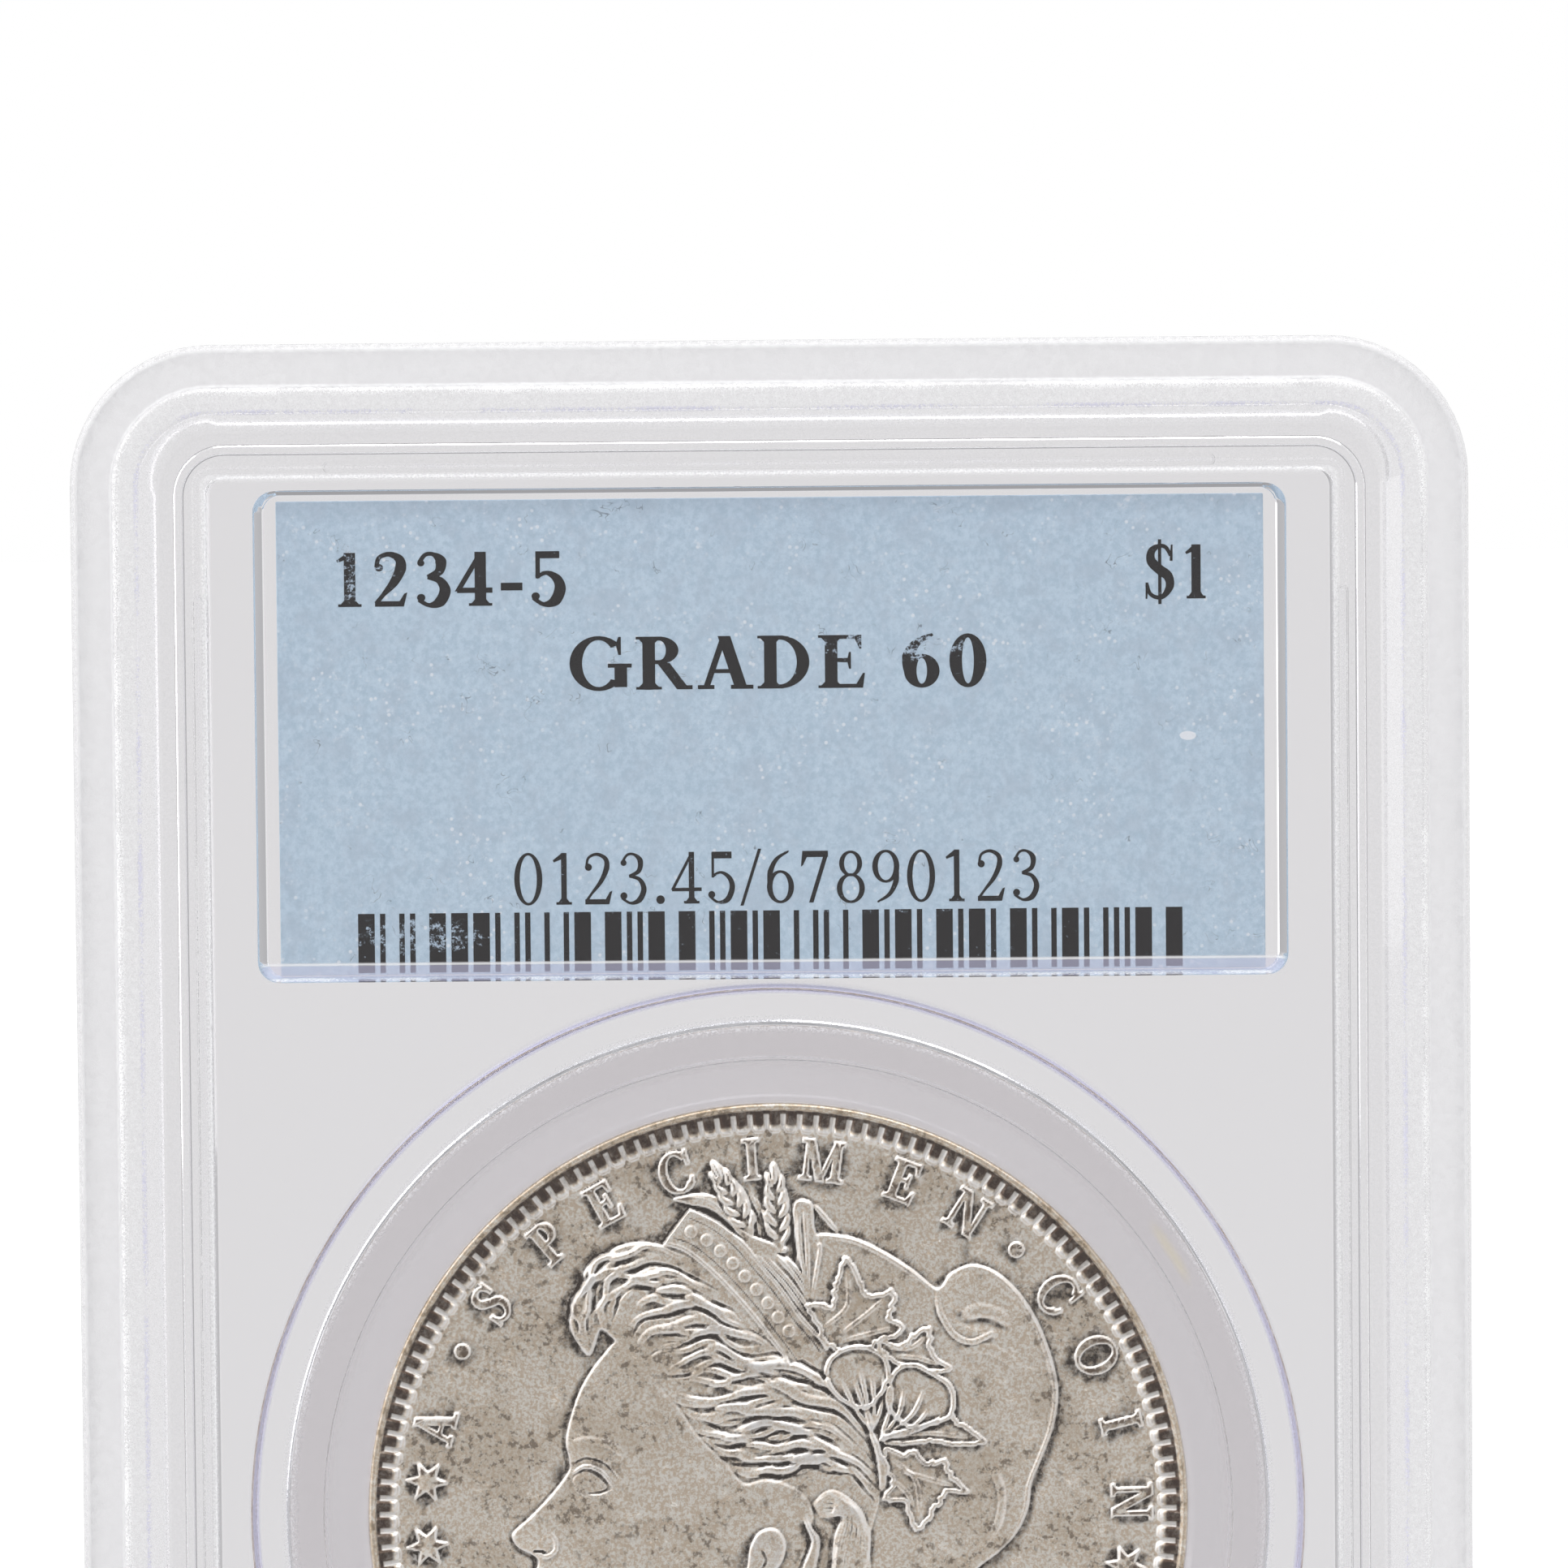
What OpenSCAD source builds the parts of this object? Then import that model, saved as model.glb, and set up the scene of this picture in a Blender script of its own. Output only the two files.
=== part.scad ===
// Graded coin slab: two clear welded shells around a coin, its soft ring and a paper label.
// The slab stands upright on its bottom edge: +Z up, front face towards -Y, origin under its centre.

/* [Case] */
// Width of the case
case_w = 64.4; // [63:0.1:66]
// Height of the case
case_h = 86.4; // [86:0.1:90]
// Thickness over both stacking rims
case_t = 8; // [7.6:0.1:9]
// Radius of the four outer corners
corner_r = 6.5; // [6.2:0.1:8]
// Radius of the small rounding along both outer edges
edge_r = 0.4; // [0.2:0.05:0.5]
// Thickness of the clear front and back panels
panel_t = 1.5; // [1.2:0.1:1.6]
// Width of the solid border around the hollow
border_w = 6.1; // [6:0.1:6.3]

/* [Stacking rims] */
// Height of the front rim over the front panel
front_rim_h = 0.7; // [0.4:0.05:0.8]
// Distance of the front rim from the outer edge
front_rim_in = 1.95; // [1.8:0.05:2.2]
// Width of the front rim at its foot
front_rim_w = 2.15; // [2:0.05:2.3]
// Width of the slope on the inner side of the front rim
front_slope_w = 1; // [0.6:0.1:1.2]
// Depth of the back recess that takes the next slab's front rim
back_recess = 0.8; // [0.5:0.05:0.9]
// Width of the back rim
back_rim_w = 1.75; // [1.5:0.05:1.8]

/* [Coin] */
// Diameter of the coin
coin_d = 38.1; // [36:0.1:38.1]
// Thickness of the coin over its rims
coin_t = 2.4; // [2:0.1:2.8]
// Width of the raised coin rim
coin_rim_w = 0.55; // [0.4:0.05:1]
// Height of the coin rim over the field
coin_rim_h = 0.25; // [0.1:0.05:0.4]
// Height of the coin's centre above the bottom edge
coin_z = 32; // [31:0.1:32.3]
// Number of stars on the left of the coin's front
stars_left = 7; // [3:1:7]
// Number of stars on the right of the coin's front
stars_right = 6; // [3:1:6]

/* [Gasket] */
// Outer diameter of the soft ring
gasket_d = 45.4; // [44.5:0.1:45.4]
// Gap between the soft ring and the wall of its well
gasket_gap = 0.1; // [0.05:0.01:0.1]
// Diameter of the step between the ring's lip and its outer band
step_d = 42.2; // [41:0.1:43]
// Thickness of the round wall of the well
well_wall = 1.6; // [1.2:0.1:1.7]

/* [Label] */
// Width of the paper label
label_w = 45.7; // [42:0.1:46]
// Height of the paper label
label_h = 22; // [20:0.1:22.2]
// Thickness of the paper label
label_t = 0.25; // [0.15:0.05:0.3]
// Height of the label's lower edge above the bottom edge
label_z = 57.15; // [57:0.05:57.5]
// Diameter of the foil seal on the back of the label
seal_d = 12; // [8:1:18]

/* [Hidden] */
$fn = 96;
eps = 0.01;

// Heights below are measured from the joint between the shells, towards the front.
front_top = case_t / 2;
front_panel = front_top - front_rim_h;
back_panel = case_t / 2 - back_recess;
front_inner = front_panel - panel_t - 0.1;
back_inner = back_panel - panel_t;
hollow_r = 0.85;
rim_draft = 0.1;

// Weld ribs on the front shell, their grooves in the back shell and the flash trap beside them.
rib_w = 0.35;
rib_in = 5.5;
rib_h = 0.45;
rib_stop = 11.8;
groove_gap = 0.08;
trap_in = 4.6;
trap_w = 0.5;
trap_h = 0.3;

// Label pocket
label_face = 0.1;
pocket_gap = 0.25;
pocket_floor = label_face - label_t - 0.1;
pocket_w = label_w + 2 * pocket_gap;
pocket_h = label_h + pocket_gap;
boss_side = 0.75;
boss_r = 1;
seal_t = 0.06;

// Soft ring and coin
well_r = gasket_d / 2 + gasket_gap;
ring_half = back_inner - 0.1;
lip_half = ring_half - 0.25;
lip_r = coin_d / 2 + 0.35;
grip_half = coin_t / 2 - 0.1;
field_half = coin_t / 2 - coin_rim_h;
star_orbit = 16.5;
star_r = 1.05;
star_h = 0.15;
star_step = 10.5;
left_star_start = 174.7;
right_star_start = 3;

// Turns a shape drawn lying on its back so that it stands up, front towards -Y.
module stand() {
    rotate([90, 0, 0]) children();
}

// Flat outline with four round corners, centred.
module rounded(w, h, r) {
    square([w - 2 * r, h], center = true);
    square([w, h - 2 * r], center = true);
    for (x = [-1, 1], y = [-1, 1])
        translate([x * (w / 2 - r), y * (h / 2 - r)]) circle(r);
}

// Outline of the case moved in by a distance.
module case_outline(inset = 0) {
    rounded(case_w - 2 * inset, case_h - 2 * inset, max(corner_r - inset, hollow_r));
}

// Carries a profile round the case: x is the distance in from the edge, y the height.
module round_edge() {
    for (i = [0:3]) {
        half = i % 2 == 0 ? case_w / 2 : case_h / 2;
        other = i % 2 == 0 ? case_h / 2 : case_w / 2;
        rotate(90 * i) {
            translate([half, 0, 0]) rotate([90, 0, 0])
                linear_extrude(2 * (other - corner_r), center = true) mirror([1, 0]) children();
            translate([half - corner_r, other - corner_r, 0])
                rotate_extrude(angle = 90) translate([corner_r, 0]) mirror([1, 0]) children();
        }
    }
}

// Waste outside the small rounding of an outer edge whose flat face is at height 0.
module edge_waste() {
    difference() {
        translate([-1, -edge_r]) square([1 + edge_r, edge_r + 1]);
        translate([edge_r, -edge_r]) circle(edge_r);
        translate([0, -edge_r - 1]) square([2, 1]);
        translate([edge_r, -edge_r]) square([2, edge_r]);
    }
}

module at_case_centre() {
    translate([0, case_h / 2, 0]) children();
}

module at_coin() {
    translate([0, coin_z, 0]) children();
}

// The label's pocket is lower than its boss is high, and the label rests on the pocket's lower wall.
module at_pocket() {
    translate([0, label_z + pocket_h / 2, 0]) children();
}

module boss_outline() {
    rounded(pocket_w + 2 * boss_side, pocket_h + 2 * pocket_gap, boss_r);
}

module well_wall_ring(height) {
    linear_extrude(height) difference() {
        circle(well_r + well_wall);
        circle(well_r);
    }
}

// The four straight weld ribs, widened by a gap for their grooves.
module weld_ribs(gap = 0) {
    for (i = [0:3]) {
        half = i % 2 == 0 ? case_w / 2 : case_h / 2;
        other = i % 2 == 0 ? case_h / 2 : case_w / 2;
        reach = other - rib_stop;
        rotate(90 * i) translate([half - rib_in - rib_w / 2, 0]) {
            square([rib_w + 2 * gap, 2 * reach], center = true);
            for (y = [-1, 1]) translate([0, y * reach]) circle(rib_w / 2 + gap);
        }
    }
}

module front_rim_profile() {
    foot = front_rim_in + front_rim_w;
    polygon([
        [front_rim_in, front_panel - 0.3],
        [front_rim_in, front_panel],
        [front_rim_in + rim_draft, front_top - rim_draft],
        [front_rim_in + 2 * rim_draft, front_top],
        [foot - front_slope_w, front_top],
        [foot, front_panel],
        [foot, front_panel - 0.3]
    ]);
}

module front_shell() {
    color("white", 0.35) stand() {
        at_case_centre() {
            difference() {
                linear_extrude(front_panel) case_outline();
                translate([0, 0, front_panel]) round_edge() edge_waste();
                translate([0, 0, -eps]) linear_extrude(front_inner + eps)
                    case_outline(border_w);
                translate([0, 0, -eps]) linear_extrude(trap_h + eps) difference() {
                    case_outline(trap_in);
                    case_outline(trap_in + trap_w);
                }
            }
            round_edge() front_rim_profile();
            translate([0, 0, -rib_h]) linear_extrude(rib_h + 0.2) weld_ribs();
        }
        at_pocket() translate([0, 0, label_face])
            linear_extrude(front_inner + 0.2 - label_face) boss_outline();
        at_coin() well_wall_ring(front_inner + 0.2);
    }
}

module back_shell() {
    color("white", 0.35) stand() {
        at_case_centre() difference() {
            translate([0, 0, -case_t / 2]) linear_extrude(case_t / 2) case_outline();
            translate([0, 0, -case_t / 2]) mirror([0, 0, 1]) round_edge() edge_waste();
            round_edge() polygon([
                [back_rim_w - rim_draft, -case_t / 2 - 1],
                [back_rim_w, -case_t / 2],
                [back_rim_w + rim_draft, -back_panel],
                [corner_r - 1, -back_panel],
                [corner_r - 1, -case_t / 2 - 1]
            ]);
            translate([0, 0, -case_t / 2 - 1]) linear_extrude(1 + back_recess)
                case_outline(back_rim_w + 1);
            translate([0, 0, -back_inner]) linear_extrude(back_inner + eps)
                case_outline(border_w);
            translate([0, 0, -rib_h - groove_gap]) linear_extrude(rib_h + groove_gap + eps)
                weld_ribs(groove_gap);
        }
        at_pocket() difference() {
            translate([0, 0, -back_inner - 0.2])
                linear_extrude(back_inner + 0.2 + label_face) boss_outline();
            translate([0, 0, pocket_floor]) linear_extrude(label_face - pocket_floor + eps)
                rounded(pocket_w, pocket_h, boss_r - boss_side);
        }
        at_coin() translate([0, 0, -back_inner - 0.2]) well_wall_ring(back_inner + 0.2);
    }
}

module coin_gasket() {
    color("white", 0.5) stand() at_coin() rotate_extrude() polygon([
        [coin_d / 2, -grip_half],
        [lip_r, -lip_half],
        [step_d / 2, -lip_half],
        [step_d / 2 + 0.1, -ring_half],
        [gasket_d / 2 - 0.15, -ring_half],
        [gasket_d / 2, -ring_half + 0.15],
        [gasket_d / 2, ring_half - 0.15],
        [gasket_d / 2 - 0.15, ring_half],
        [step_d / 2 + 0.1, ring_half],
        [step_d / 2, lip_half],
        [lip_r, lip_half],
        [coin_d / 2, grip_half]
    ]);
}

module star() {
    polygon([for (i = [0:11]) let (r = i % 2 == 0 ? star_r : star_r * 0.5)
        [r * cos(30 * i), r * sin(30 * i)]]);
}

module coin() {
    color("silver") stand() at_coin() {
        difference() {
            translate([0, 0, -coin_t / 2]) cylinder(h = coin_t, d = coin_d);
            for (side = [-1, 1]) translate([0, 0, side * (field_half + 1)])
                cylinder(h = 2, d = coin_d - 2 * coin_rim_w, center = true);
        }
        for (i = [0:stars_left - 1]) rotate(left_star_start + star_step * i)
            translate([star_orbit, 0, field_half - 0.1]) linear_extrude(star_h + 0.1) star();
        for (i = [0:stars_right - 1]) rotate(right_star_start - star_step * i)
            translate([star_orbit, 0, field_half - 0.1]) linear_extrude(star_h + 0.1) star();
    }
}

module label_insert() {
    color("lightsteelblue") stand() translate([0, label_z + label_h / 2, label_face - label_t])
        linear_extrude(label_t) square([label_w, label_h], center = true);
}

module hologram_seal() {
    color("gainsboro") stand()
        translate([0, label_z + label_h / 2, label_face - label_t - seal_t])
            cylinder(h = seal_t, d = seal_d);
}

front_shell();
back_shell();
coin_gasket();
coin();
label_insert();
hologram_seal();
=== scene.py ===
"""Graded coin slab: two clear welded shells around a silver coin, its soft ring and a paper label."""
import math

import bmesh
import bpy
import numpy as np
from mathutils import Matrix, Vector, geometry


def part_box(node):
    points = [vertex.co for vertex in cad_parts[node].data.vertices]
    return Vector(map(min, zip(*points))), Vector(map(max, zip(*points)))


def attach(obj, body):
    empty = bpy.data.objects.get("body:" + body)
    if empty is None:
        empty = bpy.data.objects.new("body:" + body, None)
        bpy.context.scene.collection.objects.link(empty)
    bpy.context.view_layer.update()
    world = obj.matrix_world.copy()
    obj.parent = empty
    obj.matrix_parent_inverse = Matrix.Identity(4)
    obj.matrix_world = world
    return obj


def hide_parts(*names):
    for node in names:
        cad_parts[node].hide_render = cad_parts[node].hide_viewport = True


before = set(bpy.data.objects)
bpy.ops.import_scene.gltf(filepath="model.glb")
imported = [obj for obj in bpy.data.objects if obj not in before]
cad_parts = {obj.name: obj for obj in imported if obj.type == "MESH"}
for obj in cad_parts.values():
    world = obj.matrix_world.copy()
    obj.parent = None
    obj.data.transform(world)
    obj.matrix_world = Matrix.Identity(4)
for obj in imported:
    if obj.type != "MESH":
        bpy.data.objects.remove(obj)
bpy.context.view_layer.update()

MM = 0.001

# ---------------------------------------------------------------- places, in millimetres, from the frame


def box_mm(node):
    """Lowest and highest corner of a CAD node, in millimetres."""
    low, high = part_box(node)
    return np.array(low) / MM, np.array(high) / MM


case_low, case_high = box_mm("back_shell")
CASE_W = case_high[0] - case_low[0]
CASE_H = case_high[2] - case_low[2]
CASE_MID_Z = (case_high[2] + case_low[2]) / 2
BACK_TOP = case_high[1]
FRONT_TOP = -box_mm("front_shell")[0][1]

coin_low, coin_high = box_mm("coin")
COIN_R = (coin_high[0] - coin_low[0]) / 2
COIN_HALF = (coin_high[1] - coin_low[1]) / 2
COIN_Z = (coin_high[2] + coin_low[2]) / 2

ring_low, ring_high = box_mm("coin_gasket")
RING_R = (ring_high[0] - ring_low[0]) / 2
RING_HALF = (ring_high[1] - ring_low[1]) / 2

label_low, label_high = box_mm("label_insert")
LABEL_W = label_high[0] - label_low[0]
LABEL_H = label_high[2] - label_low[2]
LABEL_MID_Z = (label_high[2] + label_low[2]) / 2
LABEL_FRONT = label_low[1]
LABEL_BACK = label_high[1]

seal_low, seal_high = box_mm("hologram_seal")
SEAL_R = (seal_high[0] - seal_low[0]) / 2
SCALLOPS = 36

# Shell section, as depths from the joint between the shells and distances in from the outer edge.
CORNER_R = 6.5
EDGE_R = 0.4
FRONT_PANEL = 3.3
BACK_PANEL = 3.2
INNER = 1.7
RIM_IN = 1.95
RIM_FOOT = 4.1
BACK_RIM_W = 1.75
BORDER = 6.1
HOLLOW_R = 0.85
TRAP = (4.6, 5.1, 0.3)
RIB_IN = 5.67
RIB_W = 0.36
RIB_H = 0.42
RIB_STOP = 11.8
SEAM = 0.012
WELL_R = RING_R + 0.1
WELL_WALL = 1.6
STEP_R = 21.1
CREST_END = RIM_FOOT - 1.0
BOSS_W = 47.7
BOSS_H = 22.75
BOSS_MID_Z = LABEL_MID_Z + 0.12
BOSS_DRAFT = 0.42
LABEL_GAP = 0.02
RUB_AT = (18.3, COIN_Z + 11.8)
CHIP_AT = (19.3, label_low[2] + 10.8)
COIN_PITCH = 0.07
COIN_FACES = 230000

# Brightness of the light tent: before and behind the case, at its sides, and as seen through the plastic;
# then the cosines between which it changes.
TENT_FRONT = 0.39
TENT_SIDES = 0.85
SEEN_THROUGH = 0.88
SEEN_SIDEWAYS = 0.55
TENT_CONE = (0.99, 0.72)
SIDEWAYS = (1.0, 0.0, 0.0)

# ---------------------------------------------------------------- node graphs


class Graph:
    """Short ways to build a material's nodes."""

    def __init__(self, name):
        self.material = bpy.data.materials.new(name)
        self.material.use_nodes = True
        self.tree = self.material.node_tree
        self.bsdf = self.tree.nodes["Principled BSDF"]
        self.out = self.tree.nodes["Material Output"]
        self.point = self.add("ShaderNodeTexCoord").outputs["Object"]
        self.mm = self.vector("SCALE", self.point, scale=1 / MM)

    def put(self, socket, value):
        """Links a socket into another, or sets its value."""
        if isinstance(value, bpy.types.NodeSocket):
            self.tree.links.new(value, socket)
        elif isinstance(value, (tuple, list)) and len(value) == 3 and socket.type == "RGBA":
            socket.default_value = (*value, 1.0)
        else:
            socket.default_value = value

    def add(self, kind, inputs=(), **settings):
        """A new node with its settings and inputs."""
        node = self.tree.nodes.new(kind)
        for key, value in settings.items():
            setattr(node, key, value)
        for key, value in dict(inputs).items():
            self.put(node.inputs[key], value)
        return node

    def math(self, operation, a, b=0.0, clamp=False):
        node = self.add("ShaderNodeMath", {0: a, 1: b}, operation=operation, use_clamp=clamp)
        return node.outputs[0]

    def vector(self, operation, a, b=None, scale=None):
        node = self.add("ShaderNodeVectorMath", {0: a}, operation=operation)
        if b is not None:
            self.put(node.inputs[1], b)
        if scale is not None:
            self.put(node.inputs["Scale"], scale)
        return node.outputs["Value" if operation in ("LENGTH", "DOT_PRODUCT") else "Vector"]

    def times(self, *values):
        return self.fold("MULTIPLY", values)

    def plus(self, *values):
        return self.fold("ADD", values)

    def most(self, *values):
        return self.fold("MAXIMUM", values)

    def minus(self, a, b):
        return self.math("SUBTRACT", a, b)

    def fold(self, operation, values):
        """One operation over any number of values, from the left."""
        total = values[0]
        for value in values[1:]:
            total = self.math(operation, total, value)
        return total

    def xyz(self):
        """The point on the object, in millimetres."""
        return self.add("ShaderNodeSeparateXYZ", {0: self.mm}).outputs

    def join(self, x, y, z):
        return self.add("ShaderNodeCombineXYZ", {0: x, 1: y, 2: z}).outputs[0]

    def fade(self, value, low, high, to_low=0.0, to_high=1.0):
        """Goes smoothly from to_low to to_high while the value goes from low to high."""
        node = self.add("ShaderNodeMapRange", {0: value, 1: low, 2: high, 3: to_low, 4: to_high},
                        interpolation_type="SMOOTHSTEP")
        return node.outputs[0]

    def noise(self, scale, detail=4.0, rough=0.55, vector=None, distortion=0.0):
        values = {"Vector": vector or self.mm, "Scale": scale, "Detail": detail, "Roughness": rough,
                  "Distortion": distortion}
        return self.add("ShaderNodeTexNoise", values).outputs["Fac"]

    def cells(self, scale):
        return self.add("ShaderNodeTexVoronoi", {"Vector": self.mm, "Scale": scale}).outputs["Distance"]

    def mix(self, factor, a, b):
        """A colour between a and b."""
        node = self.add("ShaderNodeMix", {"Factor": factor}, data_type="RGBA")
        self.put(node.inputs[6], a)
        self.put(node.inputs[7], b)
        return node.outputs[2]

    def attribute(self, name):
        return self.add("ShaderNodeAttribute", attribute_name=name).outputs["Fac"]

    def bump(self, height, strength, distance):
        inputs = {"Height": height, "Strength": strength, "Distance": distance}
        return self.add("ShaderNodeBump", inputs).outputs["Normal"]

    def surface(self, **values):
        """Sets inputs of the principled shader, with _ for a space."""
        for key, value in values.items():
            self.put(self.bsdf.inputs[key.replace("_", " ")], value)


def line_mask(g, value, centre, width):
    """1 on a thin line where value is centre, 0 a width away."""
    away = g.math("ABSOLUTE", g.minus(value, centre))
    return g.fade(away, width, 0.0)


def case_inset(g):
    """Distance in from the outer edge of the case, in millimetres."""
    x, _, z = g.xyz()
    qx = g.minus(g.math("ABSOLUTE", x), CASE_W / 2 - CORNER_R)
    qz = g.minus(g.math("ABSOLUTE", g.minus(z, CASE_MID_Z)), CASE_H / 2 - CORNER_R)
    outside = g.vector("LENGTH", g.join(g.most(qx, 0.0), g.most(qz, 0.0), 0.0))
    inside = g.math("MINIMUM", g.most(qx, qz), 0.0)
    return g.minus(CORNER_R, g.plus(outside, inside))


def coin_radius(g):
    """Distance from the coin's axis, in millimetres."""
    x, _, z = g.xyz()
    return g.vector("LENGTH", g.join(x, g.minus(z, COIN_Z), 0.0))


def let_lamps_through(g, shader):
    """Sight is refracted; light for what lies inside goes straight through."""
    path = g.add("ShaderNodeLightPath")
    seen = g.most(path.outputs["Is Camera Ray"], path.outputs["Is Transmission Ray"])
    clear = g.add("ShaderNodeBsdfTransparent", {"Color": (0.97, 0.97, 0.98)})
    final = g.add("ShaderNodeMixShader", {0: seen, 1: clear.outputs[0], 2: shader})
    g.put(g.out.inputs["Surface"], final.outputs[0])


def blot(g, x, z, place, size):
    """1 in the middle of an upright ellipse, 0 outside it."""
    dx = g.math("DIVIDE", g.minus(x, place[0]), size[0])
    dz = g.math("DIVIDE", g.minus(z, place[1]), size[1])
    return g.fade(g.vector("LENGTH", g.join(dx, dz, 0.0)), 1.0, 0.35)


def frosted(g, amount, lavender):
    """The clear plastic with a share of it turned white, for frost, scuffs and painted edge highlights, or
    lavender, painted where light splits.
    """
    tone = g.mix(lavender, (0.95, 0.95, 0.96), (0.66, 0.655, 0.86))
    frost = g.add("ShaderNodeBsdfPrincipled", {"Base Color": tone, "Roughness": 0.6})
    mixed = g.add("ShaderNodeMixShader", {0: amount, 1: g.bsdf.outputs[0], 2: frost.outputs[0]})
    let_lamps_through(g, mixed.outputs[0])


def shell_material(name, front):
    """Clear polystyrene: frosted ledge and rim band, white painted highlights speckled like wear along the
    rim, rib, well and boss edges, lavender painted where light splits, faint scratches on the panel.
    """
    g = Graph(name)
    inset = case_inset(g)
    radius = coin_radius(g)
    x, y, z = g.xyz()
    depth = g.times(y, -1.0 if front else 1.0)
    high = g.fade(depth, FRONT_PANEL - 0.15, FRONT_PANEL)
    fine = g.noise(9.0, 6.0, 0.7)
    broad = g.noise(0.35, 3.0)
    grit = g.fade(g.times(fine, g.fade(broad, 0.25, 0.75, 0.8, 1.15)), 0.44, 0.56)
    ledge = g.times(g.fade(inset, RIM_IN + 0.25, RIM_IN - 0.05), high)
    inner = g.fade(depth, INNER + 0.1, INNER - 0.3)
    # Painted highlights: the white lines at the well, crest, seam, rib, back crest and the boss's lower lip
    # stand for light caught on edges, speckled like wear; only the haze band is frost.
    well = g.times(line_mask(g, radius, WELL_R + 0.1, 0.3), grit, inner)
    # Painted lavender where light splits: the well wall's outer line here, then the rim's foot and the strip
    # under the label.
    painted_split_light = g.times(line_mask(g, radius, WELL_R + WELL_WALL, 0.32), g.fade(fine, 0.4, 0.6, 0.75, 1.0), inner)
    wear_and_highlight = g.times(well, 0.4)
    if front:
        crest = g.times(line_mask(g, inset, RIM_IN + 0.2, 0.42), grit, high)
        foot = g.times(line_mask(g, inset, CREST_END, 0.22), grit, high)
        haze = g.plus(g.fade(inset, CREST_END + 0.2, CREST_END - 0.2, 0.0, 0.21),
                      g.fade(inset, BORDER + 0.1, BORDER - 0.1, 0.0, 0.05))
        haze = g.times(haze, g.fade(g.noise(3.5, 7.0, 0.85), 0.42, 0.58, 0.6, 1.6))
        seam = g.times(line_mask(g, inset, BORDER, 0.28), g.fade(fine, 0.4, 0.6, 0.3, 0.5))
        rib = g.times(line_mask(g, inset, RIB_IN, 0.14), grit, 0.4)
        wear_and_highlight = g.most(wear_and_highlight, crest, haze, seam, rib)
        painted_split_light = g.most(painted_split_light, g.times(foot, 0.6))
        across = g.times(g.fade(g.math("ABSOLUTE", x), BOSS_W / 2, BOSS_W / 2 - 0.3), inner)
        up = g.minus(z, label_low[2])
        sill = g.times(g.fade(up, 0.62, 0.5), g.fade(up, -0.3, -0.2, 0.0, 0.42))
        # Painted highlight lines along the boss's lower edge, over the label.
        lip = g.most(line_mask(g, up, 0.5, 0.12), g.times(line_mask(g, up, -0.16, 0.14), grit))
        wear_and_highlight = g.most(wear_and_highlight, g.times(lip, 0.8, across))
        painted_split_light = g.most(painted_split_light, g.times(sill, across))
    else:
        crest = g.times(line_mask(g, inset, BACK_RIM_W - 0.1, 0.22),
                        g.fade(depth, BACK_TOP - 0.2, BACK_TOP - 0.05))
        wear_and_highlight = g.most(wear_and_highlight, g.times(crest, grit))
    scratch_at = g.vector("MULTIPLY", g.mm, (0.25, 1.0, 3.5))
    scratches = g.fade(g.noise(1.6, 2.0, 0.5, vector=scratch_at, distortion=0.6), 0.62, 0.78)
    height = g.plus(g.times(fine, ledge), g.times(scratches, 0.03))
    rough = g.plus(g.times(ledge, 0.28), g.times(wear_and_highlight, 0.3), g.times(scratches, 0.05))
    g.surface(Base_Color=(0.955, 0.948, 0.957), IOR=1.59, Transmission_Weight=1.0,
              Roughness=g.plus(rough, 0.02), Normal=g.bump(height, 0.25, 0.00006))
    frosted(g, g.math("MAXIMUM", wear_and_highlight, painted_split_light, clamp=True), g.fade(g.minus(painted_split_light, wear_and_highlight), 0.0, 0.1))
    return g.material


def ring_material():
    """Soft clear ring, a little cloudy, with a mould line worn white and a faint yellow rub."""
    g = Graph("soft_clear_ring")
    radius = coin_radius(g)
    x, _, z = g.xyz()
    cloudy = g.noise(0.8, 4.0)
    fine = g.noise(7.0, 5.0, 0.7)
    grit = g.fade(fine, 0.46, 0.58)
    edge = g.times(line_mask(g, radius, RING_R - 0.1, 0.25), grit)
    rub = g.times(line_mask(g, radius, STEP_R + 0.8, 0.35), blot(g, x, z, RUB_AT, (1.6, 2.2)))
    tone = g.mix(rub, (0.80, 0.772, 0.785), (0.84, 0.77, 0.62))
    g.surface(Base_Color=tone, IOR=1.47, Transmission_Weight=1.0,
              Roughness=g.fade(cloudy, 0.3, 0.7, 0.05, 0.16), Normal=g.bump(cloudy, 0.2, 0.0002))
    lip = g.fade(radius, STEP_R - 0.1, STEP_R - 0.5, 0.0, 0.12)
    frosted(g, g.most(g.times(edge, 0.5), lip, g.times(rub, 0.12)), 0.0)
    return g.material


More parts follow.
